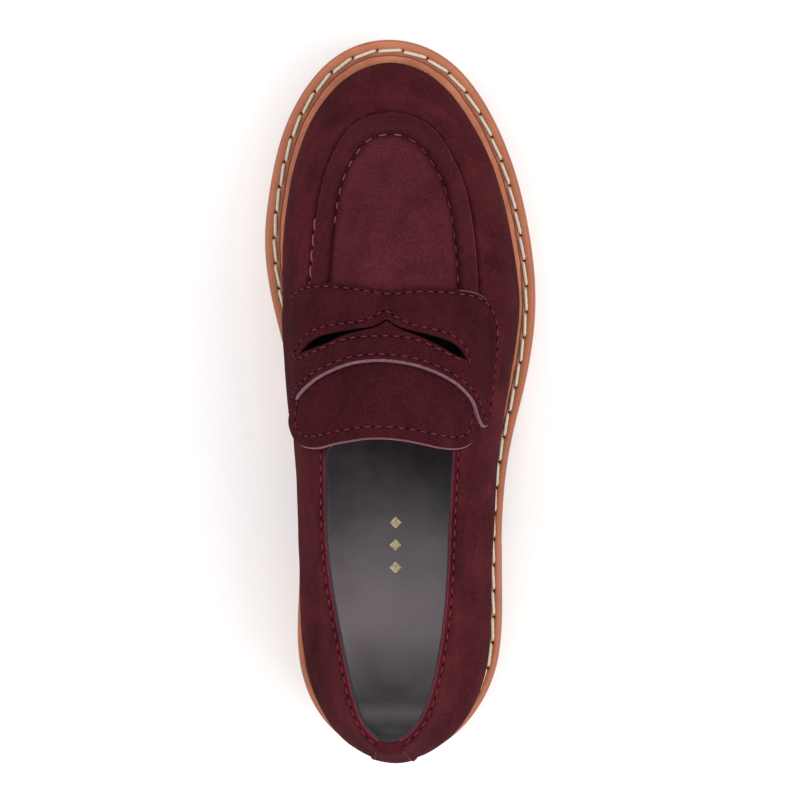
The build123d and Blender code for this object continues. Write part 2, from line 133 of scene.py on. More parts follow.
sole_edge = closed_curve([s[0:2] for s in STATIONS])
shape = closed_curve([s[2:5] for s in STATIONS])
rim = closed_curve([s[5:8] for s in STATIONS])
crown = closed_curve([s[8:9] for s in STATIONS])


def smooth_step(x):
    x = np.clip(x, 0, 1)
    return x * x * (3 - 2 * x)


def unit(v):
    """Vectors made one long; one with no length stays as it is."""
    return v / np.maximum(np.linalg.norm(v, axis=-1, keepdims=True), 1e-9)


def run_length(line):
    """Length along a run of points, at each of them."""
    return np.concatenate([[0], np.cumsum(np.linalg.norm(np.diff(line, axis=0), axis=1))])


def bump(x, centre, half):
    """A smooth hill of height 1, half wide each way."""
    f = np.clip(np.abs(x - centre) / half, 0, 1)
    return (1 - f * f) ** 2


def footing(y):
    heel = HEEL_RISE * smooth_step((30 - y) / 95)
    toe = TOE_SPRING * (np.clip(y - 45, 0, None) / 85) ** 2
    return BALL_HEIGHT + heel + toe


def ground_line(y):
    heel = HEEL_SEAT * smooth_step((FLAT_FROM - y) / (FLAT_FROM - HEEL_BREAST))
    toe = (TOE_SPRING - 1) * (np.clip(y - FLAT_TO, 0, None) / 70) ** 2
    return heel + toe


def outward(u):
    step = 1e-3
    d = sole_edge(u + step) - sole_edge(u - step)
    return unit(np.stack([-d[..., 1], d[..., 0]], -1))


def inset_line(u, inset):
    return sole_edge(u) - outward(u) * np.asarray(inset)[..., None]


def seam_inset(u):
    return 2.2 + 0.165 * shape(u)[..., 0]


def wall(u, t):
    """The outer face of the upper: u round the shoe, t from the feather line (0) to the rim (1)."""
    u, t = np.broadcast_arrays(np.asarray(u, float), np.asarray(t, float))
    inset, bulge, lean = np.moveaxis(shape(u), -1, 0)
    flat = inset_line(u, inset)
    foot = np.concatenate([flat, footing(flat[..., 1:2]) + WELT + 0.1], -1)
    top = rim(u)
    out = np.concatenate([outward(u), np.zeros(u.shape + (1,))], -1)
    tall = (top - foot)[..., 2:3]
    lean = np.radians(lean)[..., None]
    p1 = foot + out * bulge[..., None] + UP * tall * 0.42
    p2 = top + (out * np.sin(lean) - UP * np.cos(lean)) * tall * 0.36
    t = t[..., None]
    s = 1 - t
    return foot * s ** 3 + p1 * 3 * s * s * t + p2 * 3 * s * t * t + top * t ** 3


def wall_normal(u, t):
    e = 1e-3
    return unit(np.cross(wall(u, t + e) - wall(u, t - e), wall(u + e, t) - wall(u - e, t)))


def top_arch(u, across):
    near, far = rim(u), rim(LAPS - np.asarray(u, float))
    across = np.asarray(across, float)[..., None]
    point = near * (1 - across) + far * across
    return point + crown(u) * 4 * across * (1 - across) * UP


def grid_normals(grid):
    n = unit(np.cross(np.gradient(grid, axis=1), np.gradient(grid, axis=0)))
    return n * np.sign(n[..., 2].sum())


def unevenness(p, size, seed):
    """Gentle deterministic waves in space, between about -1 and 1, with features of that size in mm."""
    rng = np.random.default_rng(seed)
    total = np.zeros(p.shape[:-1])
    for _ in range(7):
        direction = unit(rng.normal(size=3))
        total += np.sin(p @ direction * (2 * np.pi / (size * rng.uniform(0.7, 1.6))) + rng.uniform(0, 6.28))
    return total / 3.5


class Saddle:
    """The form over the instep as a regular grid: y along the shoe, s the way round it from the middle."""

    def __init__(self):
        self.y = np.arange(-26.0, 50.1, 1.0)
        self.s = np.arange(-64.0, 64.1, 0.5)
        rows = []
        t = np.linspace(0.3, 1, 24)
        for u in np.linspace(4.4, 8.4, 81):
            inner = wall(np.full(24, u), t)
            top = top_arch(np.full(36, u), np.linspace(0, 1, 36))[1:-1]
            outer = wall(np.full(24, LAPS - u), t[::-1])
            line = np.concatenate([inner, top, outer])
            for _ in range(12):
                line[1:-1] = (line[:-2] + 2 * line[1:-1] + line[2:]) / 4
            run = run_length(line)
            run -= np.interp(0.0, line[:, 0], run)
            rows.append(np.stack([np.interp(self.s, run, line[:, k]) for k in range(3)], -1))
        rows = np.array(rows)
        grid = np.empty((len(self.y), len(self.s), 3))
        for j in range(len(self.s)):
            order = np.argsort(rows[:, j, 1])
            for k in range(3):
                grid[:, j, k] = np.interp(self.y, rows[order, j, 1], rows[order, j, k])
        self.grid = grid
        self.normal = grid_normals(grid)

    def sample(self, values, y, s):
        fy = np.clip((y - self.y[0]) / 1.0, 0, len(self.y) - 1.001)
        fs = np.clip((s - self.s[0]) / 0.5, 0, len(self.s) - 1.001)
        i, j = fy.astype(int), fs.astype(int)
        a, b = (fy - i)[..., None], (fs - j)[..., None]
        low = values[i, j] * (1 - b) + values[i, j + 1] * b
        high = values[i + 1, j] * (1 - b) + values[i + 1, j + 1] * b
        return low * (1 - a) + high * a

    def normal_at(self, y, s):
        return unit(self.sample(self.normal, np.asarray(y, float), np.asarray(s, float)))

    def at(self, y, s, lift):
        return self.sample(self.grid, y, s) + self.normal_at(y, s) * np.asarray(lift)[..., None]


saddle = Saddle()


# ---------------------------------------------------------------- meshes
SHARP = math.radians(48)


def mesh_piece(name, patches, materials, body, replaced=(), weld=0.004):
    """One object from grids of points in mm. A patch is (grid, material number or one per face)."""
    verts, faces, marks = [], [], []
    base = 0
    for grid, mark in patches:
        grid = np.asarray(grid, float)
        n, m = grid.shape[:2]
        verts.append(grid.reshape(-1, 3) * MM)
        i, j = np.meshgrid(np.arange(n - 1), np.arange(m - 1), indexing="ij")
        a = (i * m + j).ravel() + base
        faces.append(np.stack([a, a + 1, a + m + 1, a + m], -1))
        marks.append(np.broadcast_to(mark, (n - 1, m - 1)).ravel())
        base += n * m
    verts, faces, marks = np.concatenate(verts), np.concatenate(faces), np.concatenate(marks)
    mesh = bpy.data.meshes.new(name)
    mesh.from_pydata(verts.tolist(), [], faces.tolist())
    mesh.polygons.foreach_set("material_index", marks.astype(np.int32))
    tidy(mesh, weld * MM)
    return as_piece(name, mesh, materials, body, replaced)


def tidy(mesh, weld):
    """Joins the patches, turns their faces outward, and shades them smooth except at sharp edges."""
    work = bmesh.new()
    work.from_mesh(mesh)
    bmesh.ops.remove_doubles(work, verts=work.verts, dist=weld)
    bmesh.ops.dissolve_degenerate(work, edges=work.edges, dist=weld * 0.5)
    bmesh.ops.recalc_face_normals(work, faces=work.faces)
    for face in work.faces:
        face.smooth = True
    for seam in work.edges:
        seam.smooth = seam.calc_face_angle(0) < SHARP
    work.to_mesh(mesh)
    work.free()


def as_piece(name, mesh, materials, body, replaced=()):
    for material in materials:
        mesh.materials.append(material)
    made = bpy.data.objects.new(name, mesh)
    bpy.context.scene.collection.objects.link(made)
    if body:
        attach(made, body)
    if replaced:
        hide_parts(*replaced)
    return made


def rounded(distance, radius):
    """How far a rounded edge drops at a distance in from the edge."""
    f = np.clip(1 - distance / radius, 0, 1)
    return radius * (1 - np.sqrt(1 - f * f))


def edge_spread(n):
    """Fractions from 0 to 1, closer together near both ends."""
    f = np.linspace(0, 1, n)
    return 0.35 * f + 0.65 * (0.5 - 0.5 * np.cos(np.pi * f))


def border(top, bottom):
    """The four strips that close the gap between two facing grids."""
    return [np.stack([top[0], bottom[0]]), np.stack([top[-1], bottom[-1]]),
            np.stack([top[:, 0], bottom[:, 0]]), np.stack([top[:, -1], bottom[:, -1]])]


def sewing(name, rows, body, replaced=()):
    """Fine burgundy stitches, and near-black dots between them: painted shade in the needle holes."""
    marks = [(line, normals, pitch, 0.3, -0.04) for line, normals, pitch, _, _ in rows]
    return [thread_mesh(name, rows, THREAD_LOOK, body, 0.22, replaced, flat=0.9),
            thread_mesh(name + "_needle_hole_shade", marks, NEEDLE_HOLE_SHADE_LOOK, body, 0.2, phase=0.0)]


def thread_mesh(name, rows, material, body, radius, replaced=(), flat=0.8, slant=0.0,
                phase=0.5):
    """Stitches: rows are (line, normals, pitch, share of the pitch, rise), each stitch a short twisted
    thread whose ends dive under the surface; phase is where the first one's middle lies in its pitch."""
    ring, along = 8, 9
    verts, faces = [], []
    angle = np.arange(ring) * 2 * np.pi / ring
    for line, normals, pitch, fill, rise in rows:
        run = run_length(line)
        count = max(1, int(round(run[-1] / pitch)))
        step = run[-1] / count
        for k in range(count):
            f = np.linspace(-1, 1, along)
            where = (k + phase) * step + f * step * fill / 2
            ends = np.stack([np.interp(where[[0, -1]], run, line[:, c]) for c in range(3)], -1)
            centre = ends[:1] + (ends[1:] - ends[:1]) * (f[:, None] + 1) / 2
            n = unit(np.stack([np.interp(where, run, normals[:, c]) for c in range(3)], -1))
            side = np.cross(n, unit(np.gradient(centre, axis=0)))
            centre = centre + side * (f * slant)[:, None]
            centre = centre + n * (rise * (1 - f ** 4) - radius * 0.9 * f ** 6)[:, None]
            thick = radius * (1 - 0.4 * np.abs(f) ** 8)
            twist = 1 + 0.10 * np.cos(2 * angle[None, :] - f[:, None] * 3.2 * fill * step / (radius * 3))
            r = thick[:, None] * twist
            loop = (centre[:, None] + side[:, None] * (np.cos(angle) * r)[..., None]
                    + n[:, None] * (np.sin(angle) * r * flat)[..., None])
            start = len(verts)
            verts.extend(loop.reshape(-1, 3) * MM)
            for a in range(along - 1):
                for b in range(ring):
                    c = (b + 1) % ring
                    faces.append([start + a * ring + b, start + a * ring + c,
                                  start + (a + 1) * ring + c, start + (a + 1) * ring + b])
            faces.append([start + b for b in range(ring)][::-1])
            faces.append([start + (along - 1) * ring + b for b in range(ring)])
    mesh = bpy.data.meshes.new(name)
    mesh.from_pydata([tuple(v) for v in verts], [], faces)
    for polygon in mesh.polygons:
        polygon.use_smooth = True
    return as_piece(name, mesh, [material], body, replaced)


# ---------------------------------------------------------------- materials
def srgb(colour):
    """A screen colour, 0 to 255, as the linear one that a shader takes."""
    return tuple(c / 255 / 12.92 if c <= 10 else ((c / 255 + 0.055) / 1.055) ** 2.4 for c in colour) + (1,)


class Finish:
    """A procedural material being put together."""

    def __init__(self, name, **sockets):
        self.material = bpy.data.materials.new(name)
        self.material.use_nodes = True
        self.tree = self.material.node_tree
        self.shader = self.tree.nodes["Principled BSDF"]
        self.place = self.node("ShaderNodeTexCoord").outputs["Object"]
        for key, value in sockets.items():
            self.shader.inputs[key.replace("_", " ")].default_value = value

    def node(self, kind, settings=None, **inputs):
        made = self.tree.nodes.new(kind)
        for key, value in (settings or {}).items():
            setattr(made, key, value)
        for key, value in inputs.items():
            self.put(made.inputs[int(key[1:]) if key[0] == "i" and key[1:].isdigit() else key], value)
        return made

    def put(self, socket, value):
        if isinstance(value, bpy.types.NodeSocket):
            self.tree.links.new(value, socket)
        else:
            socket.default_value = value

    def noise(self, scale, detail=3.0, rough=0.55, stretch=None, distort=0.0):
        place = self.place
        if stretch:
            place = self.node("ShaderNodeMapping", None, Vector=place, Scale=stretch).outputs[0]
        return self.node("ShaderNodeTexNoise", None, Vector=place, Scale=scale, Detail=detail,
                         Roughness=rough, Distortion=distort).outputs["Fac"]

    def cells(self, scale):
        return self.node("ShaderNodeTexVoronoi", None, Vector=self.place, Scale=scale).outputs["Distance"]

    def ramp(self, value, low, high, to_low=0.0, to_high=1.0):
        return self.node("ShaderNodeMapRange", None, Value=value, **{"From Min": low, "From Max": high,
                         "To Min": to_low, "To Max": to_high}).outputs["Result"]

    def mix(self, amount, a, b, blend="MIX"):
        made = self.tree.nodes.new("ShaderNodeMix")
        made.data_type, made.blend_type = "RGBA", blend
        self.put(made.inputs["Factor"], amount)
        self.put(made.inputs[6], a)
        self.put(made.inputs[7], b)
        return made.outputs[2]

    def math(self, operation, a, b):
        return self.node("ShaderNodeMath", {"operation": operation}, i0=a, i1=b).outputs[0]

    def weigh(self, a, share_a, b, share_b):
        """The sum of two values, each times its share."""
        return self.math("ADD", self.math("MULTIPLY", a, share_a), self.math("MULTIPLY", b, share_b))

    def bumps(self, height, strength, distance, under=None):
        made = self.node("ShaderNodeBump", None, Height=height, Strength=strength, Distance=distance)
        if under:
            self.put(made.inputs["Normal"], under)
        return made.outputs[0]

    def set(self, name, value):
        self.put(self.shader.inputs[name], value)

    def colour(self, amount, dark, light):
        self.set("Base Color", self.mix(amount, srgb(dark), srgb(light)))


def suede(name, dark, light, patch=1.0):
    """Brushed suede, all matt: a nap of short fibres over soft brush marks."""
    f = Finish(name, Roughness=1.0, Specular_IOR_Level=0.03)
    marks = f.ramp(f.noise(38, 3, 0.6, distort=0.8), 0.32, 0.68)
    smears = f.ramp(f.noise(150, 4, 0.65, (1.0, 0.35, 1.0), 0.5), 0.3, 0.7)
    nap = f.noise(1100, 3, 0.7)
    grain = f.noise(2500, 2, 0.6)
    amount = f.weigh(marks, 0.40 * patch, smears, 0.28)
    amount = f.math("ADD", amount, f.math("MULTIPLY", f.ramp(nap, 0.36, 0.64), 0.36))
    speck = f.ramp(grain, 0.38, 0.62, 0.74, 1.26)
    grey = f.node("ShaderNodeCombineColor", None, Red=speck, Green=speck, Blue=speck).outputs[0]
    f.set("Base Color", f.mix(1.0, f.mix(amount, srgb(dark), srgb(light)), grey, "MULTIPLY"))
    f.set("Normal", f.bumps(grain, 0.4, 0.00014, f.bumps(nap, 0.6, 0.0003)))
    return f.material


def raw_edge(name, dark, light):
    """The cut edge of suede, where the fibres show."""
    f = Finish(name, Roughness=0.85, Specular_IOR_Level=0.2, Sheen_Weight=0.25, Sheen_Roughness=0.5)
    fibre = f.noise(900, 4, 0.7, (1, 1, 2.5))
    f.colour(f.ramp(fibre, 0.3, 0.7), dark, light)
    f.set("Normal", f.bumps(fibre, 0.5, 0.0002))
    return f.material


def tan_leather(name, dark, light, rough=0.5, grain=1.0, lines=None):
    """Edge-dyed vegetable tan leather with fine pores; lines are the scale of faint layers."""
    f = Finish(name, Specular_IOR_Level=0.35)
    cloud = f.ramp(f.noise(60, 4, 0.6, distort=0.4), 0.3, 0.7)
    pores = f.noise(1300, 4, 0.65)
    f.colour(f.weigh(cloud, 0.6, f.ramp(pores, 0.3, 0.7), 0.4), dark, light)
    f.set("Roughness", f.ramp(pores, 0.3, 0.7, rough - 0.08, rough + 0.12))
    normal = f.bumps(pores, 0.25 * grain, 0.00015)
    if lines:
        normal = f.bumps(f.noise(lines, 2, 0.6, (0.06, 0.06, 1.0)), 0.4, 0.0002, normal)
    f.set("Normal", normal)
    return f.material


def grained_leather(name, dark, light, rough, coat=0.0, wear_and_painted_light=0.0, gloss=0.5):
    """Smooth lining leather with a fine cell grain. The last number sets the painted light on the footbed:
    lighter from the middle of the shoe back, fading before the heel's cup, a painted highlight band at the
    cup's rim, painted shade behind."""
    f = Finish(name, Coat_Weight=coat, Coat_Roughness=0.35, Specular_IOR_Level=gloss)
    cloud = f.ramp(f.noise(45, 3, 0.6), 0.3, 0.7)
    fine = f.noise(2600, 3, 0.6)
    amount = f.weigh(cloud, 0.6, fine, 0.4)
    if wear_and_painted_light:
        along = f.node("ShaderNodeSeparateXYZ", None, Vector=f.place).outputs["Y"]
        # Painted light: lighter over the middle of the footbed, fading again before the heel.
        tread = f.math("SUBTRACT", f.ramp(along, -0.04, -0.078, 0.0, wear_and_painted_light),
                       f.ramp(along, -0.084, -0.108, 0.0, wear_and_painted_light))
        # A painted highlight band at the rim of the heel's cup, with painted shade behind it.
        cup_painted_highlight, cup_painted_shade = f.ramp(along, -0.108, -0.112, 0.0, 0.55), f.ramp(along, -0.1125, -0.117, 0.0, 0.75)
        rubbed_and_painted_light = f.math("ADD", tread, f.math("SUBTRACT", cup_painted_highlight, cup_painted_shade))
        amount = f.math("ADD", f.math("MULTIPLY", amount, 0.38), rubbed_and_painted_light)
    f.colour(amount, dark, light)
    f.set("Roughness", f.ramp(fine, 0.3, 0.7, rough - 0.05, rough + 0.08))
    f.set("Normal", f.bumps(fine, 0.15, 0.0001, f.bumps(f.cells(1100), 0.22, 0.00018)))
    return f.material


def thread(name, dark, light, rough=0.7):
    f = Finish(name, Roughness=rough, Specular_IOR_Level=0.05)
    fibre = f.noise(2600, 3, 0.6)
    f.colour(f.ramp(fibre, 0.3, 0.7), dark, light)
    f.set("Normal", f.bumps(fibre, 0.4, 0.0001))
    return f.material


def rubber(name, dark, light):
    f = Finish(name, Specular_IOR_Level=0.3)
    fine = f.noise(1800, 3, 0.6)
    f.colour(f.ramp(f.noise(50, 3, 0.6), 0.3, 0.7), dark, light)
    f.set("Roughness", f.ramp(fine, 0.3, 0.7, 0.55, 0.72))
    f.set("Normal", f.bumps(fine, 0.2, 0.00012))
    return f.material


def hidden_fibre(name, dark, light, scale, metal=0.0, rough=0.8):
    """Grainy board, cork, foam or steel inside the shoe."""
    f = Finish(name, Metallic=metal)
    spots = f.cells(scale)
    f.colour(f.ramp(spots, 0.0, 0.6), dark, light)
    f.set("Roughness", f.ramp(f.noise(scale * 1.5), 0.3, 0.7, rough - 0.1, rough))
    f.set("Normal", f.bumps(spots, 0.4, 0.0003))
    return f.material


def foil(name, bright, rubbed_and_painted_light):
    f = Finish(name, Metallic=0.85)
    wear_and_painted_light = f.ramp(f.noise(2200, 3, 0.7), 0.42, 0.6)
    f.colour(wear_and_painted_light, bright, rubbed_and_painted_light)
    f.set("Roughness", f.ramp(wear_and_painted_light, 0, 1, 0.3, 0.6))
    return f.material


SUEDE_LOOK = suede("suede_burgundy", (34, 10, 14), (77, 28, 33), 1.25)
SUEDE_APRON = suede("suede_burgundy_apron", (51, 19, 24), (86, 36, 42), 0.8)
SUEDE_STRAP = suede("suede_burgundy_strap", (37, 11, 15), (68, 25, 31), 0.8)
# Darker suede for the slot's cut faces: painted shade in the slot.
SLOT_EDGE_SHADE_LOOK = suede("suede_slot_edge_painted_shade", (24, 7, 10), (42, 15, 20), 0.8)
EDGE_LOOK = raw_edge("suede_raw_edge", (82, 48, 57), (128, 86, 96))
# Darker copy of the apron's suede for the lip's lower face and the roll up to the seam's crease: painted
# shade.
APRON_ROLL_SHADE_LOOK = suede("suede_apron_roll_painted_shade", (43, 15, 20), (75, 30, 35), 0.8)
# Lighter suede on the crest of the apron's edge: partly the cut edge's own fibres, partly a painted
# highlight on the ridge.
APRON_EDGE_HIGHLIGHT_LOOK = suede("suede_apron_edge_and_painted_highlight", (58, 22, 26), (98, 43, 49))
TONGUE_EDGE = raw_edge("suede_raw_edge_red", (92, 38, 50), (124, 62, 76))
ROLLED_LOOK = suede("suede_rolled_edge", (78, 28, 40), (114, 48, 63))
WELT_LOOK = tan_leather("welt_tan", (156, 90, 61), (188, 117, 83), 0.5)
WELT_EDGE = tan_leather("welt_edge_tan", (134, 76, 54), (162, 98, 72), 0.45)
WELT_RIB = tan_leather("welt_rib_raw", (146, 82, 58), (204, 132, 98), 0.8, 2.5)
WELT_INNER = tan_leather("welt_inner_tan", (142, 78, 56), (168, 98, 73), 0.6)
# Darker tan for the welt's groove: painted shade in the channel.
GROOVE_SHADE_LOOK = tan_leather("welt_groove_painted_shade", (136, 74, 54), (160, 92, 70), 0.7)
SOLE_SIDE = tan_leather("sole_side_tan", (140, 84, 60), (166, 104, 76), 0.5, 1.0, 900)
SOLE_RUBBER = rubber("outsole_rubber", (122, 72, 50), (142, 88, 64))
LIFT_RUBBER = rubber("top_lift_rubber", (100, 58, 40), (120, 72, 52))
LINING_LOOK = grained_leather("lining_grey", (24, 20, 23), (40, 35, 39), 0.45, 0.2)
# The footbed's light colour and last number give its painted light, painted highlight band and painted
# shade.
SOCK_LOOK = grained_leather("sock_grey", (34, 27, 31), (158, 143, 150), 0.36, 0.3, 0.76)
LINING_EDGE = grained_leather("lining_edge_grey", (40, 40, 45), (62, 62, 70), 0.5)
# Near-black for the strap's underside and the tongue's front under the strap: painted shade under the strap
# and in its slot.
SHADE_BLACK_LOOK = grained_leather("backing_painted_shade", (5, 3, 4), (9, 6, 7), 0.9, gloss=0.02)
THREAD_LOOK = thread("thread_burgundy", (84, 28, 38), (120, 50, 61))
SEAM_THREAD = thread("thread_rose", (104, 48, 58), (140, 80, 90))
WELT_THREAD = thread("thread_off_white", (182, 174, 154), (214, 208, 190))
# Dark brown in the welt's awl holes: painted shade in the holes.
AWL_HOLE_SHADE_LOOK = thread("awl_hole_painted_shade", (66, 44, 26), (108, 74, 48))
# Near-black dots where the thread dives in: painted shade in the needle holes.
NEEDLE_HOLE_SHADE_LOOK = thread("needle_hole_painted_shade", (14, 3, 5), (26, 8, 11), 1.0)
FOIL_LOOK = foil("foil_pale_gold", (214, 200, 160), (170, 150, 110))
BOARD_LOOK = hidden_fibre("fibre_board", (130, 104, 78), (170, 142, 112), 900)
CORK_LOOK = hidden_fibre("granulated_cork", (120, 78, 46), (186, 138, 92), 350)
FOAM_LOOK = hidden_fibre("open_foam", (150, 150, 146), (196, 196, 190), 1200)
STEEL_LOOK = hidden_fibre("spring_steel", (130, 130, 134), (168, 168, 172), 500, 1.0, 0.4)


# ---------------------------------------------------------------- the sole
ROUND_U = np.linspace(0, LAPS, 961)
HALF = 480


def loft_round(profile, u=ROUND_U):
    """A band all the way round the sole. profile(u) gives inset and height, an array (points, 2) per u."""
    inset, z = np.moveaxis(profile(u), -1, 0)
    xy = inset_line(np.broadcast_to(u[:, None], inset.shape), inset)
    return np.concatenate([xy, z[..., None]], -1)


def blend_rows(low, high, f):
    """A grid between two runs of points, at the shares f of the way across."""
    return low[:, None] * (1 - f[None, :, None]) + high[:, None] * f[None, :, None]


def cap_across(line, count=13):
    """Fills a closed line, given from the heel round to the heel again, with a grid from side to side."""
    return blend_rows(line[:HALF + 1], line[HALF:][::-1], np.linspace(0, 1, count))


def side_profile(points):
    """Profile from pairs (inset, height function of y at the sole's edge)."""
    def at(u):
        y = sole_edge(u)[:, 1]
        return np.stack([np.stack([np.full(len(u), d), z(y)], -1) for d, z in points], 1)
    return at


def make_sole():
    def near_ground(rise):
        return lambda y: ground_line(y) + rise

    def below_top(drop):
        return lambda y: footing(y) - MIDSOLE - drop

    def share(part):
        return lambda y: ground_line(y) + 1.2 + (footing(y) - MIDSOLE - 1.2 - ground_line(y)) * part

    def mid(drop):
        return lambda y: footing(y) - drop

    outsole = loft_round(side_profile([
        (1.6, below_top(0)), (0.75, below_top(0.05)), (0.45, below_top(0.35)), (0.35, below_top(0.8)),
        (0.30, share(0.7)), (0.25, share(0.45)), (0.30, share(0.2)), (0.45, near_ground(1.1)),
        (0.75, near_ground(0.5)), (1.3, near_ground(0.1)), (2.0, near_ground(0.0)),
        (4.0, near_ground(0.0))]))
    floor = cap_across(outsole[:, -1], 70)
    y = floor[..., 1]
    across = np.linspace(0, 1, 70)[None, :]
    width = np.linalg.norm(floor[:, -1] - floor[:, 0], axis=-1)[:, None]
    tread = smooth_step((np.minimum(across, 1 - across) * width - 4) / 1.5)
    tread *= smooth_step((y - 16) / 2) * smooth_step((104 - y) / 2)
    wave = smooth_step((np.cos(2 * np.pi * y / 8) - 0.35) / 0.5)
    floor[..., 2] = ground_line(y) + 1.4 * tread * wave
    mesh_piece("outsole_look", [(outsole, 0), (cap_across(outsole[:, 0]), 0), (floor, 1)],
               [SOLE_SIDE, SOLE_RUBBER], SHOE, ["outsole"])

    band = loft_round(side_profile([
        (2.0, mid(0.02)), (0.5, mid(0.05)), (0.2, mid(0.35)), (0.12, mid(0.9)), (0.1, mid(3.0)),
        (0.12, mid(5.1)), (0.2, mid(5.65)), (0.5, mid(5.95)), (2.0, mid(5.98))]))
    mesh_piece("midsole_look", [(band, 0), (cap_across(band[:, 0]), 0), (cap_across(band[:, -1]), 0)],
               [WELT_EDGE], SHOE, ["midsole"])


HEEL_POINTS = 361


def heel_line(inset):
    """Closed plan line of the heel at an inset, starting and ending in the middle of the front face."""
    fine = np.linspace(-6, 6, 4001)
    edge = inset_line(fine, np.full(len(fine), inset))
    keep = edge[:, 1] < HEEL_BREAST - inset
    back = edge[keep]
    x = np.linspace(back[-1, 0], back[0, 0], 400)
    f = np.linspace(-1, 1, 400)
    front = np.stack([x, HEEL_BREAST - inset - 2.6 * (1 - f * f)], -1)
    if back[-1, 0] > 0:
        front = front[np.argsort(-front[:, 0])]
    line = np.concatenate([back, front[1:-1], back[:1]])
    run = run_length(line)
    where = np.linspace(0, run[-1], HEEL_POINTS)
    line = np.stack([np.interp(where, run, line[:, k]) for k in range(2)], -1)
    for _ in range(3):
        line[:-1] = (np.roll(line[:-1], 1, 0) + 2 * line[:-1] + np.roll(line[:-1], -1, 0)) / 4
        line[-1] = line[0]
    return line


def heel_piece(name, levels, material, replaced):
    """A block with the heel's outline; levels are (inset, height)."""
    rings = [np.concatenate([heel_line(inset), np.full((HEEL_POINTS, 1), z)], -1) for inset, z in levels]
    caps = [blend_rows(ring, ring.mean(0)[None], np.linspace(0, 1, 9)) for ring in (rings[0], rings[-1])]
    patches = [(np.stack(rings, 1), 0)] + [(cap, 0) for cap in caps]
    mesh_piece(name, patches, [material], SHOE, [replaced])


def make_heel():
    levels = [(1.6, HEEL_SEAT - 0.02)]
    for top in (HEEL_SEAT, 16.7, 11.4):
        levels += [(1.15, top - 0.12), (0.85, top - 0.45), (0.8, top - 1.2), (0.8, top - 4.1),
                   (0.85, top - 4.85), (1.15, top - 5.2)]
    levels = levels[:-1] + [(1.15, TOP_LIFT + 0.08), (2.0, TOP_LIFT + 0.02)]
    heel_piece("heel_block_look", levels, SOLE_SIDE, "heel_block")
    levels = [(1.6, TOP_LIFT), (0.85, TOP_LIFT - 0.1), (0.62, TOP_LIFT - 0.4), (0.6, 3.0), (0.62, 0.9),
              (0.8, 0.4), (1.2, 0.1), (1.7, 0.0)]
    heel_piece("top_lift_look", levels, LIFT_RUBBER, "top_lift")


# ---------------------------------------------------------------- the welt
def seam_run(fine_u):
    """Length along the welt's seam at each u, and the number of stitches that fit round it."""
    line = inset_line(fine_u, seam_inset(fine_u))
    run = run_length(line)
    return run, int(round(run[-1] / WELT_PITCH))


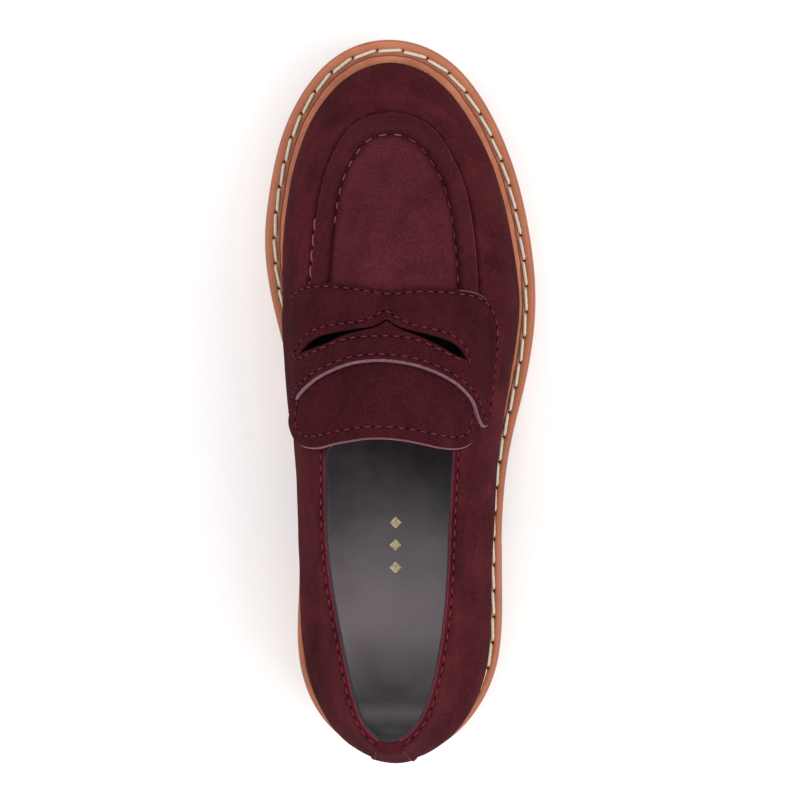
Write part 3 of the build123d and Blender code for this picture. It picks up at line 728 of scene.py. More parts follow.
def make_welt():
    table = np.linspace(0, LAPS, 6001)
    run, stitches = seam_run(table)
    length = run[-1]
    count = 2400
    u = np.interp(np.linspace(0, length, count + 1), run, table)
    at = np.linspace(0, length, count + 1)
    inset = shape(u)[:, 0]
    seam = seam_inset(u)
    rib = 1.5 + (inset - 4.7) * 0.5
    groove = np.maximum(inset - rib, seam + 0.78)
    noise = np.random.default_rng(11).normal(size=count)
    ragged = np.convolve(np.tile(noise, 3), np.hanning(7) / 3.5, "same")[count:2 * count]
    ragged = np.append(ragged, ragged[0])
    phase = np.mod(at / length * stitches, 1)
    gap = np.minimum(phase, 1 - phase) * length / stitches
    hole = np.clip(1 - (gap / 0.5) ** 2, 0, 1)
    waver = 0.08 * np.sin(at * 0.35) + 0.05 * np.sin(at * 0.83 + 1)
    rows = [(1.5, 0.0), (0.45, 0.02), (0.12, 0.3), (0.0, 0.8), (0.0, 2.2), (0.12, 2.75), (0.4, 3.2),
            (0.85, 3.43), (1.3, 3.5)]
    for off, h, dig in ((-1.05, 3.5, 0), (-0.85, 3.42, 0), (-0.65, 3.28, 0.5), (-0.3, 3.2, 0.9),
                        (0.0, 3.15, 0.9), (0.3, 3.2, 0.5), (0.65, 3.3, 0)):
        rows.append((seam + off, h - dig * hole))
    for off, h in ((-0.16, 3.42), (0.0, 3.38), (0.12, 3.1), (0.24, 3.05), (0.34, 3.2), (0.48, 3.55)):
        rows.append((groove + off + waver, h))
    span = np.maximum(inset - groove - 0.35, 0.5)
    for part, h in ((0.35, 3.78), (0.6, 3.86), (0.82, 3.8)):
        rows.append((groove + 0.48 + waver * (1 - part) + span * part, h + 0.05 * ragged))
    rows += [(groove + 0.48 + span + 0.3 * ragged, 3.55), (inset + 1.0, 3.1), (inset + 2.6, 3.0),
             (inset + 2.6, 0.02), (1.5, 0.0)]
    d, h = [np.stack([np.broadcast_to(row[k], u.shape) for row in rows], 1) for k in (0, 1)]
    for _ in range(2):
        d[:, 10:16] = np.minimum(d[:, 10:16], d[:, 16:17] - 0.05)
    xy = inset_line(np.broadcast_to(u[:, None], d.shape), d)
    grid = np.concatenate([xy, (footing(xy[..., 1]) + h)[..., None]], -1)
    n, m = grid.shape[:2]
    grid[-1] = grid[0]
    marks = np.zeros((n - 1, m - 1), int)
    marks[:, :7] = 1
    marks[:, 15:17] = 5
    # The groove's faces take the darker tan: painted shade in the channel.
    marks[:, 17:20] = 3
    marks[:, 20:25] = 2
    marks[:, 14] = 5
    # Faces over the awl holes take the dark brown: painted shade in the holes.
    for column in (11, 12, 13):
        marks[:, column] = np.where(hole[:-1] > 0.2, 4, 0)
    looks = [WELT_LOOK, WELT_EDGE, WELT_RIB, GROOVE_SHADE_LOOK, AWL_HOLE_SHADE_LOOK, WELT_INNER]
    mesh_piece("welt_look", [(grid, marks)], looks, SHOE, ["welt"])

    flat = inset_line(table, seam_inset(table))
    line = np.concatenate([flat, (footing(flat[:, 1]) + WELT)[:, None]], -1)
    normals = np.tile(UP, (len(line), 1))
    stitched = [(line, normals, length / stitches, 0.93, 0.12)]
    thread_mesh("welt_stitches_look", stitched, WELT_THREAD, SHOE, 0.6, ["welt_stitches"],
                flat=0.62, slant=0.28)


# ---------------------------------------------------------------- the walls of the upper
def wall_sheet(u, t, depth, thick, relief=None):
    """Outer and inner grids of one layer of the wall."""
    u, t = np.meshgrid(u, t, indexing="ij")
    base, n = wall(u, t), wall_normal(u, np.clip(t, 0.002, 0.998))
    rise = relief(u, t, base) if relief is not None else np.zeros(u.shape)
    outer = base - n * np.asarray(depth - rise)[..., None]
    inner = base - n * np.maximum(depth + thick, depth - rise + 0.3)[..., None]
    return outer, inner


def sheet_patches(outer, inner, face=0, back=0, edge=0):
    return [(outer, face), (inner[:, ::-1], back)] + [(strip, edge) for strip in border(outer, inner)]


def rim_run(u):
    """Length along the rim from the back of the heel."""
    fine = np.linspace(0, LAPS, 6001)
    return np.interp(u, fine, run_length(rim(fine)))


def wall_relief(base, seed=3):
    return 0.16 * unevenness(base, 34.0, seed) + 0.07 * unevenness(base, 11.0, seed + 1)


def fold_over(u):
    """How wide the top of the upper is, as a share of its full width: narrower on the inner side, and
    running in under the tongue at the front of the opening."""
    u = np.mod(u + LAPS / 2, LAPS) - LAPS / 2
    inner_side = 1 - 0.22 * smooth_step(u / 3.5)
    return inner_side + 0.66 * np.clip((np.abs(u) - 4.92) / 0.2, 0, 2) ** 2


def over_the_top(u, profile):
    """Points over the rim: profile gives (distance inward, height) in mm."""
    edge, n = wall(u, np.ones_like(u)), wall_normal(u, np.full_like(u, 0.998))
    flat = unit(n * np.array([1.0, 1.0, 0.35]))
    p = np.array(profile, float)
    reach = fold_over(u)[:, None] * p[None, :, 0]
    return edge[:, None] - flat[:, None] * reach[..., None] + UP * p[None, :, 1:2]


TOP_FOLD = [(0.12, 0.28), (0.4, 0.62), (0.8, 0.86), (1.15, 0.9), (1.4, 0.78), (1.6, 0.8), (1.9, 1.0),
            (2.3, 1.08), (2.6, 1.0), (2.8, 0.85)]
TOP_EDGE = [(2.75, 0.2), (2.72, 0.9), (2.9, 1.08), (3.15, 1.06), (3.35, 0.85), (3.45, 0.5), (3.4, -0.4),
            (3.3, -3.0), (3.0, -3.0)]
TOP_LINING = [(3.3, -0.2), (3.42, 0.35), (3.6, 0.5), (3.78, 0.35), (3.86, -0.1), (3.9, -4.0), (3.4, -4.0)]
STRIP_TOP = [(0.0, 0.75), (0.4, 1.1), (1.0, 1.35), (2.0, 1.45), (2.8, 1.4), (3.2, 1.15), (3.45, 0.7),
             (3.5, 0.1)]


def make_walls():
    t = edge_spread(64)

    def vamp_relief(u, t, base):
        """The suede is gathered along the apron: a puckered lip, and a tight crease behind it."""
        tuck = -0.35 * rounded(t * 60, 1.6) / 1.6
        gap = np.linalg.norm(base - wall(u, 1.0), axis=-1)
        gather = 0.5 + 0.5 * np.cos(2 * np.pi * rim_run(u) / APRON_PITCH)
        height = (0.75 + 0.45 * gather) * (1 - 0.5 * smooth_step((u - 12.3) / 1.5))
        lip = height * bump(gap, 2.5, 1.5) - 2.2 * (1 - smooth_step(gap / (1.5 + 0.5 * gather)))
        return wall_relief(base) + tuck + lip * smooth_step((u - 6.4) / 0.5) * smooth_step((17.6 - u) / 0.5)

    def suede_piece(name, outer, inner):
        mesh_piece(name + "_look", sheet_patches(outer, inner, 0, 0, 1), [SUEDE_LOOK, EDGE_LOOK], SHOE,
                   [name])

    u = np.linspace(SIDE_SEAM, LAPS - SIDE_SEAM, 480)
    outer, inner = wall_sheet(u, t, 0, SUEDE, vamp_relief)
    suede_piece("vamp", outer, inner)

    def quarter_relief(u, t, base):
        return wall_relief(base) - 0.35 * rounded(t * 80, 1.6) / 1.6

    for name, start, end in (("medial_quarter", 0.36, SIDE_SEAM),
                             ("lateral_quarter", LAPS - SIDE_SEAM, LAPS - 0.36)):
        u = start + (end - start) * edge_spread(300)
        outer, inner = wall_sheet(u, t, 0, SUEDE, quarter_relief)
        top = over_the_top(u, TOP_FOLD)
        top += UP * (0.12 * np.sin(u * 31.0) * np.sin(u * 7.0))[:, None, None]
        outer = np.concatenate([outer, top], 1)
        inner = np.concatenate([inner, top - UP * 1.1], 1)
        suede_piece(name, outer, inner)

    def strip_drop(u):
        """The strip's rounded side edges."""
        return rounded((STRIP_HALF - np.abs(u)) * 24, 0.6)

    def strip_relief(u, t, base):
        seam = 0.3 * bump(t, 0.962, 0.012)
        return 0.6 - strip_drop(u) - seam + wall_relief(base)

    u = STRIP_HALF * (2 * edge_spread(48) - 1)
    outer, inner = wall_sheet(u, edge_spread(110), 0, SUEDE, strip_relief)
    top = over_the_top(u, STRIP_TOP) - UP * strip_drop(u)[:, None, None]
    suede_piece("heel_strip", np.concatenate([outer, top], 1), np.concatenate([inner, top - UP * 1.3], 1))

    def lining_depth(u, t):
        narrow = 1 - np.minimum(fold_over(u), 1)
        return WALL * (1 - narrow * smooth_step((t - 0.7) / 0.3)) - 1.0

    u, t = np.linspace(-OPENING_END, OPENING_END, 300), np.linspace(0, 0.995, 40)
    u, t = np.meshgrid(u, t, indexing="ij")
    base, n, depth = wall(u, t), wall_normal(u, np.clip(t, 0.002, 0.998)), lining_depth(u, t)[..., None]
    mesh_piece("quarter_lining_look", sheet_patches(base - n * depth, base - n * (depth + 1.0)),
               [LINING_LOOK], SHOE, ["quarter_lining"])
    u, t = np.linspace(5.32, LAPS - 5.32, 300), np.linspace(0, 0.97, 36)
    patches = sheet_patches(*wall_sheet(u, t, WALL - 1.0, 1.0))
    mesh_piece("vamp_lining_look", patches, [LINING_LOOK], SHOE, ["vamp_lining"])


def make_topline():
    """The folded edge of the suede round the opening, and the thin edge of the lining inside it."""
    def shallow(u):
        """Under the tongue both edges turn inward and lie flat."""
        return smooth_step((np.abs(u) - 4.86) / 0.2)[:, None]

    patches = []
    for start, end in ((-OPENING_END, -0.37), (0.37, OPENING_END)):
        u = np.linspace(start, end, 300)
        loop = over_the_top(u, TOP_EDGE + TOP_EDGE[:1])
        loop[:, 6:9, 2] += 2.2 * shallow(u)
        patches.append((loop, 0))
        patches += [(np.stack([loop[k, :5], loop[k, 5:][::-1]]), 0) for k in (0, -1)]
    mesh_piece("topline_binding_look", patches, [ROLLED_LOOK], SHOE, ["topline_binding"])
    u = np.linspace(-OPENING_END, OPENING_END, 520)
    loop = over_the_top(u, TOP_LINING + TOP_LINING[:1])
    loop[:, 5:7, 2] += 3.4 * shallow(u)
    patches = [(loop, 0)] + [(np.stack([loop[k, :4], loop[k, 4:][::-1]]), 0) for k in (0, -1)]
    mesh_piece("topline_lining_edge", patches, [LINING_EDGE], SHOE)


# ---------------------------------------------------------------- inside
SOCK_TOP = 8.0


def make_insole():
    u = ROUND_U
    heel_side = smooth_step((-70 - sole_edge(u)[:, 1]) / 35)
    t = np.linspace(0, 0.5, 80)
    walls = wall(u[:, None], t) - wall_normal(u[:, None], np.maximum(t, 0.002)) * (WALL + 0.04)
    level = footing(walls[..., 1]) + SOCK_TOP + 0.6 + 4.0 * heel_side[:, None]
    row = np.argmax(walls[..., 2] > level, axis=1)
    xy = walls[np.arange(len(u)), row, :2]
    flat = blend_rows(xy[:HALF + 1], xy[HALF:][::-1], edge_spread(60))
    away = distance_to(flat, xy)
    behind = smooth_step((-70 - flat[..., 1]) / 35)
    cup = 0.5 * (1 - smooth_step(away / 4)) + 5.0 * behind * np.clip(1 - away / 17, 0, 1) ** 2
    top = np.concatenate([flat, (footing(flat[..., 1]) + SOCK_TOP + cup)[..., None]], -1)
    under = top - UP * 1.0
    patches = [(top, 0), (under, 0)] + [(strip, 0) for strip in border(top, under)[2:]]
    mesh_piece("sock_lining_look", patches, [SOCK_LOOK], SHOE, ["sock_lining"])
    marks = []
    for y in (-60, -52, -44):
        a = np.linspace(-1, 1, 5)
        s, t = np.meshgrid(a, a, indexing="ij")
        x, yy = -1 + (s - t) * 1.06, y + (s + t) * 1.06
        face = np.stack([x, yy, footing(yy) + SOCK_TOP + 0.12], -1)
        base = face - UP * 0.1
        marks += [(face, 0), (base, 0)] + [(strip, 0) for strip in border(face, base)]
    mesh_piece("foil_ornament_look", marks, [FOIL_LOOK], SHOE, ["foil_ornament"])


# ---------------------------------------------------------------- the apron
APRON_MIDDLE = 0.2
APRON_Y = [-30, -19, 6, 31.5, 56, 77.2, 92.5, 98.7, 100.2]
apron_top = open_curve(APRON_Y, [98.0, 96.75, 93.0, 84.0, 75.25, 69.2, 66.2, 64.2, 63.5])
apron_curve = open_curve(APRON_Y[:-2] + [100.2],
                         [0.0235, 0.0229, 0.0134, 0.0076, 0.0056, 0.0052, 0.0078, 0.0078])
# Across the rolled edge, from outside inward: distance in from the rim, height over the base.
APRON_ROWS = [(0.6, -1.9), (-0.05, -1.6), (-0.3, -1.0), (-0.42, -0.2), (-0.46, 0.6), (-0.42, 1.2),
              (-0.2, 1.6), (0.1, 1.85), (0.5, 2.1), (1.1, 2.5), (1.9, 2.9), (2.8, 3.05), (3.7, 3.0),
              (4.6, 2.65), (5.4, 2.0), (6.0, 1.35), (6.4, 0.75), (6.65, 0.35), (6.88, 0.12), (7.1, 0.12),
              (7.3, 0.4), (7.55, 0.95), (7.9, 1.5), (8.4, 1.95), (9.2, 2.4), (10.2, 2.6)]


def apron_base(xy):
    y = xy[..., 1]
    return apron_top(y) - apron_curve(y) * (xy[..., 0] - APRON_MIDDLE) ** 2


def make_apron():
    fine = np.linspace(APRON_START, LAPS - APRON_START, 4001)
    run = run_length(rim(fine)[:, :2])
    count = 860
    u = np.interp(np.linspace(0, run[-1], count + 1), run, fine)
    u = (u + (LAPS - u[::-1])) / 2
    edge = rim(u)[:, :2]
    tangent = unit(np.gradient(edge, axis=0))
    into = np.stack([tangent[:, 1], -tangent[:, 0]], -1)
    into *= np.sign(into[0, 0])
    at = np.linspace(0, run[-1], count + 1)
    pitch = run[-1] / round(run[-1] / APRON_PITCH)
    pull = 0.5 + 0.5 * np.cos(2 * np.pi * at / pitch)
    pleat = 0.5 + 0.5 * np.cos(2 * np.pi * at / APRON_PITCH)
    narrow = (0.91 + 0.14 * smooth_step((edge[:, 1] - 76) / 20))[:, None]
    rows = []
    for d, h in APRON_ROWS:
        xy = edge + into * (d * narrow)
        side = bump(d, 5.4, 2.6) * 0.45 - bump(d, 7.0, 0.9) * 0.15
        ripple = side * (pull - 0.5) + bump(d, -0.2, 1.6) * 0.14 * (pleat - 0.5)
        rows.append(np.concatenate([xy, (apron_base(xy) + h + ripple)[:, None]], -1))
    ring = rows[-1]
    half = count // 2
    target_y = np.minimum((ring[:half + 1, 1] + ring[half:, 1][::-1]) / 2, 78.0)
    target_y = np.concatenate([target_y, target_y[:-1][::-1]])
    target = np.stack([np.full(count + 1, APRON_MIDDLE), target_y], -1)
    for f in np.linspace(0, 1, 34)[1:]:
        xy = ring[:, :2] * (1 - f) + target * f
        far = f * np.linalg.norm(ring[:, :2] - target, axis=1)
        h = 2.6 + 0.2 * smooth_step(far / 6)
        base = np.concatenate([xy, (apron_base(xy) + h)[:, None]], -1)
        base[:, 2] += 0.12 * unevenness(base, 26.0, 21) * smooth_step(far / 5)
        rows.append(base)
    top = np.stack(rows, 1)
    bottom = top.copy()
    bottom[..., 2] = np.minimum(apron_base(top[..., :2]) - 0.9, top[..., 2] - 0.02)
    ends = [(np.stack([top[k], bottom[k]]), 0) for k in (0, -1)]
    side = (np.stack([top[:, 0], bottom[:, 0]]), 0)
    # The lip's lower face and the roll up to the seam's crease take the darker suede: painted shade along
    # edge and crease.
    patches = [(top[:, :5], 2), (top[:, 4:7], 1), (top[:, 6:20], 2), (top[:, 19:], 0), (bottom, 0), side]
    # The crest of the edge takes the lighter suede: the cut edge's fibres and a painted highlight.
    looks = [SUEDE_APRON, APRON_EDGE_HIGHLIGHT_LOOK, APRON_ROLL_SHADE_LOOK]
    mesh_piece("apron_look", patches + ends, looks, SHOE, ["apron"])

    crease = edge + into * (6.95 * narrow)
    seam = np.concatenate([crease, (apron_base(crease) + 0.7)[:, None]], -1)
    up = np.tile(UP, (len(seam), 1))
    inner = (seam[:, 0] < 4) & (seam[:, 1] > 60)
    outer = seam[:, 0] > 4
    thread_mesh("apron_seam_inner_look", [(seam[inner], up[inner], pitch, 0.52, 0.2)], SEAM_THREAD, SHOE,
                0.3, ["apron_stitches"])
    thread_mesh("apron_seam_outer_look", [(seam[outer], up[outer], pitch, 0.55, 0.16)], THREAD_LOOK, SHOE,
                0.28)
    whip = (edge[:, 0] < 0) & (edge[:, 1] > 36) & (edge[:, 1] < 64)
    line = np.concatenate([edge - into * 0.55, (apron_base(edge) + 0.9)[:, None]], -1)
    away = np.concatenate([-into * 0.5, np.full((len(into), 1), 1.0)], -1)
    stitched = [(line[whip], away[whip], APRON_PITCH, 0.8, 0.5)]
    thread_mesh("apron_whip_stitches_look", stitched, SEAM_THREAD, SHOE, 0.32, slant=0.25)


# ---------------------------------------------------------------- strap and tongue over the instep
# Lines are given as (s, y): s the way round the instep from the middle (the inner side is negative).
STRAP_FRONT = [(-55, 20), (-54.8, 25), (-53, 29.4), (-48, 32.8), (-41.5, 35.2), (-36, 37.8),
               (-29.5, 39.9), (-21.7, 40.4), (-14.6, 39.8), (-9, 38.9), (-4.2, 38.0), (-0.8, 37.6),
               (3.2, 37.7), (8.2, 38.3), (16.1, 38.2), (24.5, 37.4), (30, 36.3), (34.5, 33.6),
               (38, 29.5), (39.6, 25.5), (40, 20)]
STRAP_REAR = [(-55, -5.5), (-50, -4.2), (-45, -2.3), (-40, 0), (-35, 2.2), (-29.6, 4.9), (-23.5, 8.2),
              (-17.5, 11), (-11.3, 13.1), (-4.7, 14), (3.2, 13.5), (9.7, 12), (15.2, 9.8), (20.3, 7),
              (25.5, 3.1), (30, -0.9), (33.5, -5.5), (36.3, -8), (38.5, -8.9), (40.3, -8.2), (41, -6.3)]
SLOT_UPPER = [(-31.3, 15.9), (-28.7, 18.2), (-25.9, 20.3), (-22.7, 21.9), (-18.5, 22.9), (-14.2, 23.7),
              (-9.7, 24.4), (-5.1, 25.3), (-2.8, 26.4), (-1.0, 27.5), (1.1, 26.2), (3.9, 24.7),
              (7.9, 23.4), (11.8, 22.5), (15.7, 21.4), (18.8, 20.3), (21.4, 18.8), (23.4, 16.7),
              (24.8, 14.0)]
SLOT_LOWER = [(-31.3, 15.9), (-28.7, 16.9), (-25.6, 17.7), (-22.5, 18.7), (-19.7, 19.8), (-16, 21.6),
              (-10.8, 23.5), (-5.1, 25.0), (-2.8, 26.1), (-1.0, 27.2), (1.1, 25.9), (3.9, 24.2),
              (7.9, 22.5), (10.7, 21.2), (13.6, 19.8), (16.5, 18.2), (19.6, 16.3), (22.6, 14.7),
              (24.8, 14.0)]
SLOT_ROW_UPPER = [(-35.7, 13.7), (-34.5, 16.9), (-31, 19.9), (-28.2, 22.5), (-23.3, 24.7),
                  (-20.1, 25.5), (-14.9, 26.2), (-9.1, 26.9), (-5.1, 28.5), (-1.2, 30.4), (2.2, 28.3),
                  (5.1, 26.8), (9.5, 25.1), (13.6, 24.3), (17.2, 23.2), (19.7, 22.4), (22.2, 20.7),
                  (24.7, 17.9), (26, 14.5), (26.4, 11.9)]
SLOT_ROW_LOWER = [(-36, 13.4), (-28.5, 15.3), (-26.3, 16.0), (-22.2, 17.6), (-17.9, 19.6), (-14, 20.8),
                  (-3.9, 21.8), (3.5, 21.6), (8.5, 20.6), (13.7, 18.4), (18.2, 16.0), (23.5, 13.4)]
TONGUE_REAR = [(-44.3, -3), (-44.5, -7), (-43.8, -10.3), (-41.6, -13.1), (-37.2, -15.4), (-31.6, -16.3),
               (-25.6, -16.1), (-20.5, -15), (-13.6, -13.8), (-6.7, -12.8), (0, -12.8), (5.6, -13.5),
               (11, -14.6), (17, -15.9), (23.6, -16.5), (28.7, -15.9), (33.2, -13.7), (36.1, -10.6),
               (36.8, -7.2), (36.6, -3)]
TONGUE_ROW = [(-37.6, 1), (-38, -5), (-37.3, -9.2), (-35, -11.7), (-31, -12.5), (-25.5, -12.1),
              (-20.5, -11.3), (-13.6, -10), (-6.7, -9.1), (0, -9), (5.6, -9.7), (11, -10.7),
              (17, -11.9), (23.6, -12.6), (27.4, -12), (29.8, -10), (31, -6.5), (31.2, -2), (30, 2)]


def curve_through(points, count):
    """An even run of points along a smooth line through the given ones."""
    p = np.array(points, float)
    run = run_length(p)
    fine = np.linspace(0, run[-1], 3000)
    line = np.stack([open_curve(run, p[:, k])(fine) for k in range(2)], -1)
    length = run_length(line)
    where = np.linspace(0, length[-1], count)
    return np.stack([np.interp(where, length, line[:, k]) for k in range(2)], -1)


def distance_to(points, line):
    """Plan distance from points (..., 2) to a run of points."""
    flat = points.reshape(-1, 2)
    best = np.full(len(flat), 1e9)
    for part in np.array_split(line, max(1, len(line) // 60)):
        gap = ((flat[:, None] - part[None]) ** 2).sum(-1).min(1)
        best = np.minimum(best, gap)
    return np.sqrt(best).reshape(points.shape[:-1])


def strap_top(s, y):
    middle = 4.7 + 0.75 * smooth_step((30 - y) / 18)
    side = np.where(s < 0, 2.0 - 1.0 * smooth_step((-s - 34) / 9), 2.1)
    return middle + (side - middle) * smooth_step((np.abs(s) - 20) / 22)


def tongue_top(s, y):
    wide = smooth_step((np.abs(s) - 24) / 12)
    flare = 0.9 + np.where(s < 0, 2.0 * smooth_step((0.5 - y) / 9), 1.4 * smooth_step((-8.5 - y) / 4))
    return 2.9 * (1 - wide) + flare * wide - 1.4 * smooth_step((y - 14.5) / 2) * (1 - wide)


def sewn(sy, rows, width=0.55, depth=0.34):
    """How far the surface is pulled down along rows of stitches."""
    pull = np.zeros(sy.shape[:-1])
    for row in rows:
        pull = np.maximum(pull, np.exp(-(distance_to(sy, row) / width) ** 2))
    return depth * pull


def offset_line(line, inward):
    """A line moved sideways; positive is to its right."""
    t = unit(np.gradient(line, axis=0))
    return line + np.stack([t[:, 1], -t[:, 0]], -1) * inward


def on_saddle(sy, lift):
    """Points over the saddle at a height along its normals that keep their y in plan."""
    s, y = sy[..., 0], sy[..., 1]
    back = saddle.normal_at(y, s)[..., 1] * lift
    return saddle.at(y - back, s, lift)


def stitch_row(line, lift):
    """A stitched line with its normals, for thread_mesh."""
    return on_saddle(line, lift), saddle.normal_at(line[:, 1], line[:, 0])


def raw_bead(line, top, bottom, width):
    """The cut edge of the suede, standing out a little beyond the surface it belongs to."""
    away = offset_line(line, 1.0) - line
    n = saddle.normal_at(line[:, 1], line[:, 0])
    lift = np.full(len(line), 3.0)
    side = unit(on_saddle(line + away * 0.5, lift) - on_saddle(line, lift))
    ends = np.minimum(np.arange(len(line)), np.arange(len(line))[::-1]) / 5
    reach = (width * np.minimum(1, ends))[:, None]
    steps = [(0.5, -0.1), (0.85, -0.35), (1.0, -0.7), (0.95, -1.05), (0.7, -1.4), (0.3, -1.5)]
    points = [top] + [top + side * reach * a + n * b for a, b in steps] + [bottom]
    return np.stack(points, 1)


def make_strap():
    count = 440
    mid_s = np.linspace(-55, 40.5, count)
    left, right = SLOT_UPPER[0][0], SLOT_UPPER[-1][0]
    a, b = np.searchsorted(mid_s, left), np.searchsorted(mid_s, right)
    mid_s[a], mid_s[b] = left, right
    front, rear = curve_through(STRAP_FRONT, count), curve_through(STRAP_REAR, count)
    upper, lower = curve_through(SLOT_UPPER, b - a + 1), curve_through(SLOT_LOWER, b - a + 1)
    side_y = np.interp(mid_s, [-55, left, right, 40.5], [11.5, SLOT_UPPER[0][1], SLOT_UPPER[-1][1], 10.0])
    base = np.stack([mid_s, side_y], -1)
    high, low = base.copy(), base.copy()
    high[a:b + 1], low[a:b + 1] = upper, lower
    f = edge_spread(54)
    bands = [blend_rows(rear, low, f), blend_rows(high, front, f)]
    slot_edge = np.concatenate([upper, lower])
    ends = [np.stack([np.full(60, -55.0), np.linspace(-5.5, 20, 60)], -1),
            np.stack([np.linspace(41, 40, 60), np.linspace(-6.3, 20, 60)], -1)]
    outline = np.concatenate([front, rear] + ends)
    row_front = offset_line(front, 1.3)
    row_front = row_front[(row_front[:, 0] > -39)][:-6]
    row_rear = offset_line(rear, -1.6)[6:-14]
    slot_rows = [curve_through(SLOT_ROW_UPPER, 300), curve_through(SLOT_ROW_LOWER, 240)]
    end_row = np.stack([np.linspace(39.3, 39.0, 100), np.linspace(-5.2, 25.0, 100)], -1)
    groove = np.stack([np.linspace(36.2, 35.8, 100), np.linspace(-5.5, 27.5, 100)], -1)
    rows = [row_front, row_rear, end_row] + slot_rows
    patches = []
    for k, sy in enumerate(bands):
        top = strap_top(sy[..., 0], sy[..., 1])
        edge = distance_to(sy, outline)
        lip = distance_to(sy, slot_edge)
        top = top - rounded(edge, 0.8) - rounded(lip, 0.7) - sewn(sy, rows) - sewn(sy, [groove], 0.4, 0.35)
        lifted_lip = 0.45 * smooth_step(1 - lip / 3.2)
        sag = -0.55 * smooth_step(1 - lip / 4.0) * smooth_step((16 - np.abs(sy[..., 0] + 1)) / 10)
        top = top + (lifted_lip if k else sag + 0.15 * smooth_step(1 - lip / 2))
        middle = smooth_step((34 - np.abs(sy[..., 0])) / 10)
        top = top + (0.35 * smooth_step(1 - distance_to(sy, rear) / 4)
                     + 0.55 * smooth_step(1 - distance_to(sy, front) / 6)) * middle
        outer = on_saddle(sy, top)
        uneven = 0.13 * unevenness(outer, 24, 31) + 0.05 * unevenness(outer, 8, 32)
        outer += saddle.normal_at(sy[..., 1], sy[..., 0]) * uneven[..., None]
        under = on_saddle(sy, np.maximum(top - 1.55 - 0.2 * rounded(edge, 0.8), 0.15))
        # The underside is near-black: painted shade under the strap.
        patches += [(outer, 0), (under, 3)]
        patches += [(np.stack([outer[0], under[0]]), 1), (np.stack([outer[-1], under[-1]]), 1)]
        if k == 0:
            patches.append((raw_bead(sy[:, 0], outer[:, 0], under[:, 0], 0.75), 1))
        else:
            side = np.stack([outer[:, -1], under[:, -1]], 1)
            tip = int(np.searchsorted(front[:, 0], 22))
            bead = raw_bead(sy[tip:, -1][::-1], outer[tip:, -1][::-1], under[tip:, -1][::-1], 0.4)
            patches += [(side[:tip + 1], 0), (bead, 1)]
        # The slot's faces take the darker suede: painted shade in the slot.
        slot = -1 if k == 0 else 0
        patches.append((np.stack([outer[a:b + 1, slot], under[a:b + 1, slot]], 1), 2))
    mesh_piece("saddle_strap_look", patches, [SUEDE_STRAP, EDGE_LOOK, SLOT_EDGE_SHADE_LOOK, SHADE_BLACK_LOOK], SHOE,
               ["saddle_strap", "strap_backing"], weld=0.02)

    lift = {id(line): strap_top(line[:, 0], line[:, 1]) - 0.16 for line in rows}
    for line in slot_rows:
        lift[id(line)] = lift[id(line)] + 0.05
    for line, raised in ((row_rear, 0.2), (row_front, 0.48)):
        lift[id(line)] = lift[id(line)] + raised * smooth_step((34 - np.abs(line[:, 0])) / 10)
    runs = []
    for line, pitch in ((row_front, 3.7), (row_rear, 3.8), (slot_rows[0], 3.4), (slot_rows[1], 3.8),
                        (end_row, 3.8)):
        points, normals = stitch_row(line, lift[id(line)])
        runs.append((points, normals, pitch, FINE_SHARE, FINE_RISE))
    sewing("strap_stitches_look", runs, SHOE, ["strap_stitches"])


def make_tongue():
    count = 420
    rear = curve_through(TONGUE_REAR, count)
    front = np.stack([np.linspace(-33, 31, count), np.full(count, 30.0)], -1)
    f = edge_spread(100)
    sy = blend_rows(rear, front, f)
    row = curve_through(TONGUE_ROW, 420)
    outline = np.concatenate([rear, sy[0], sy[-1]])
    edge = distance_to(sy, outline)
    top = tongue_top(sy[..., 0], sy[..., 1]) - rounded(edge, 0.8) - sewn(sy, [row])
    outer = on_saddle(sy, top)
    normal = saddle.normal_at(sy[..., 1], sy[..., 0])
    outer += normal * (0.15 * unevenness(outer, 26, 41) + 0.05 * unevenness(outer, 9, 42))[..., None]
    under = on_saddle(sy, np.maximum(top - 2.0, 0.25))
    split = int(np.searchsorted(sy[count // 2, :, 1], 15.5))
    # The tongue's part under the strap, its underside and front end are near-black: painted shade seen
    # through the slot.
    patches = [(outer[:, :split + 1], 0), (outer[:, split:], 2), (under, 2),
               (raw_bead(sy[:, 0], outer[:, 0], under[:, 0], 0.55), 1),
               (np.stack([outer[:, -1], under[:, -1]], 1), 2),
               (np.stack([outer[0], under[0]]), 1), (np.stack([outer[-1], under[-1]]), 1)]
    tongue = mesh_piece("tongue_look", patches, [SUEDE_STRAP, TONGUE_EDGE, SHADE_BLACK_LOOK], None,
                        ["tongue", "tongue_lining", "tongue_flap", "tongue_flap_lining"])
    points, normals = stitch_row(row, tongue_top(row[:, 0], row[:, 1]) - 0.16)
    stitched = [(points, normals, FINE_PITCH, FINE_SHARE, FINE_RISE)]
    threads = sewing("tongue_stitches_look", stitched, None, ["tongue_flap_stitches"])
    for piece in [tongue] + threads:
        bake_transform(piece)


def make_wall_stitches():
    """Rows on the folded top of the upper, and down both sides of the heel strip."""
    rows = []
    for start, end in ((-5.2, -0.42), (0.42, 5.2)):
        u = np.linspace(start, end, 400)
        line = over_the_top(u, [(1.5, 0.88)])[:, 0]
        rows.append((line, np.tile(UP, (len(u), 1)), FINE_PITCH, FINE_SHARE, FINE_RISE))
    sewing("topline_stitches_look", rows, SHOE, ["topline_stitches"])
    rows = []
    for u0 in (-0.33, 0.33):
        t = np.linspace(0.04, 0.97, 160)
        u = np.full_like(t, u0)
        n = wall_normal(u, t)
        rows.append((wall(u, t) + n * 0.48, n, FINE_PITCH, FINE_SHARE, 0.12))
    sewing("heel_strip_stitches_look", rows, SHOE)


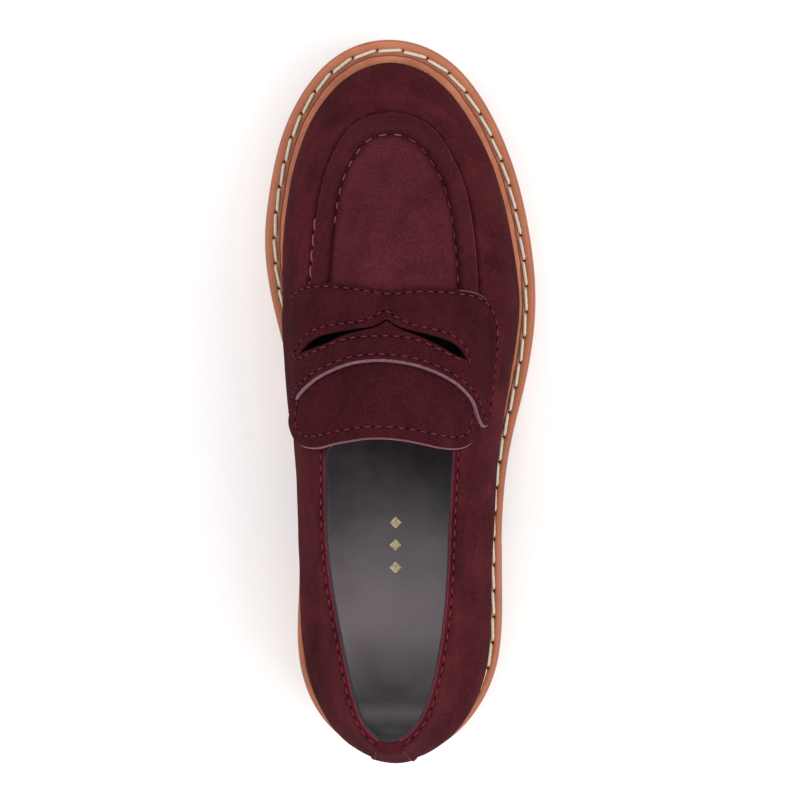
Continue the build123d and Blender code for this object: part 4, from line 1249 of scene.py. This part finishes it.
# ---------------------------------------------------------------- floor, light and camera
def linked(name, data, place, turn=(0, 0, 0)):
    made = bpy.data.objects.new(name, data)
    bpy.context.scene.collection.objects.link(made)
    made.location, made.rotation_euler = place, turn
    return made


WORLD_LIGHT = 1.02
# Name, place in metres, size and power.
LAMPS = [("key", (0.85, -0.35, 0.9), 0.9, 8.5), ("fill", (-0.9, 0.1, 0.7), 0.9, 3.5),
         ("toe", (0.0, 0.9, 0.8), 0.4, 0.5)]


def set_stage():
    finish = Finish("floor_white", Roughness=0.7)
    finish.colour(finish.noise(3, 2), (246, 246, 246), (250, 250, 250))
    mesh = bpy.data.meshes.new("floor")
    mesh.from_pydata([(-3, -3, 0), (3, -3, 0), (3, 3, 0), (-3, 3, 0)], [], [(0, 1, 2, 3)])
    mesh.materials.append(finish.material)
    linked("floor", mesh, (0, 0, 0))
    bpy.context.scene.view_settings.view_transform = "Standard"
    world = bpy.data.worlds.new("studio")
    bpy.context.scene.world = world
    world.use_nodes = True
    background = world.node_tree.nodes["Background"]
    background.inputs[0].default_value = (1, 1, 1, 1)
    background.inputs[1].default_value = WORLD_LIGHT
    for name, place, size, power in LAMPS:
        data = bpy.data.lights.new(name, "AREA")
        data.size, data.energy = size, power
        linked(name, data, place, (-Vector(place)).to_track_quat("-Z", "Y").to_euler())
    tilt = math.radians(3.5)
    lens = bpy.data.cameras.new("camera")
    lens.lens, lens.sensor_width = 124.17, 36.0
    place = (math.sin(tilt), 0, 0.031 + math.cos(tilt))
    bpy.context.scene.camera = linked("camera", lens, place, (0, tilt, 0))


HIDDEN_LOOKS = {"insole_board": BOARD_LOOK, "footbed_foam": FOAM_LOOK, "bottom_filler": CORK_LOOK,
                "shank": STEEL_LOOK, "heel_nails": STEEL_LOOK, "heel_counter": BOARD_LOOK,
                "toe_puff": BOARD_LOOK, "collar_padding": FOAM_LOOK, "apron_lining": LINING_LOOK}


def colour_hidden_parts():
    for name, look in HIDDEN_LOOKS.items():
        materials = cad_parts[name].data.materials
        materials.clear()
        materials.append(look)


make_sole()
make_heel()
make_welt()
make_walls()
make_topline()
make_insole()
make_apron()
make_strap()
make_tongue()
make_wall_stitches()
colour_hidden_parts()
set_stage()
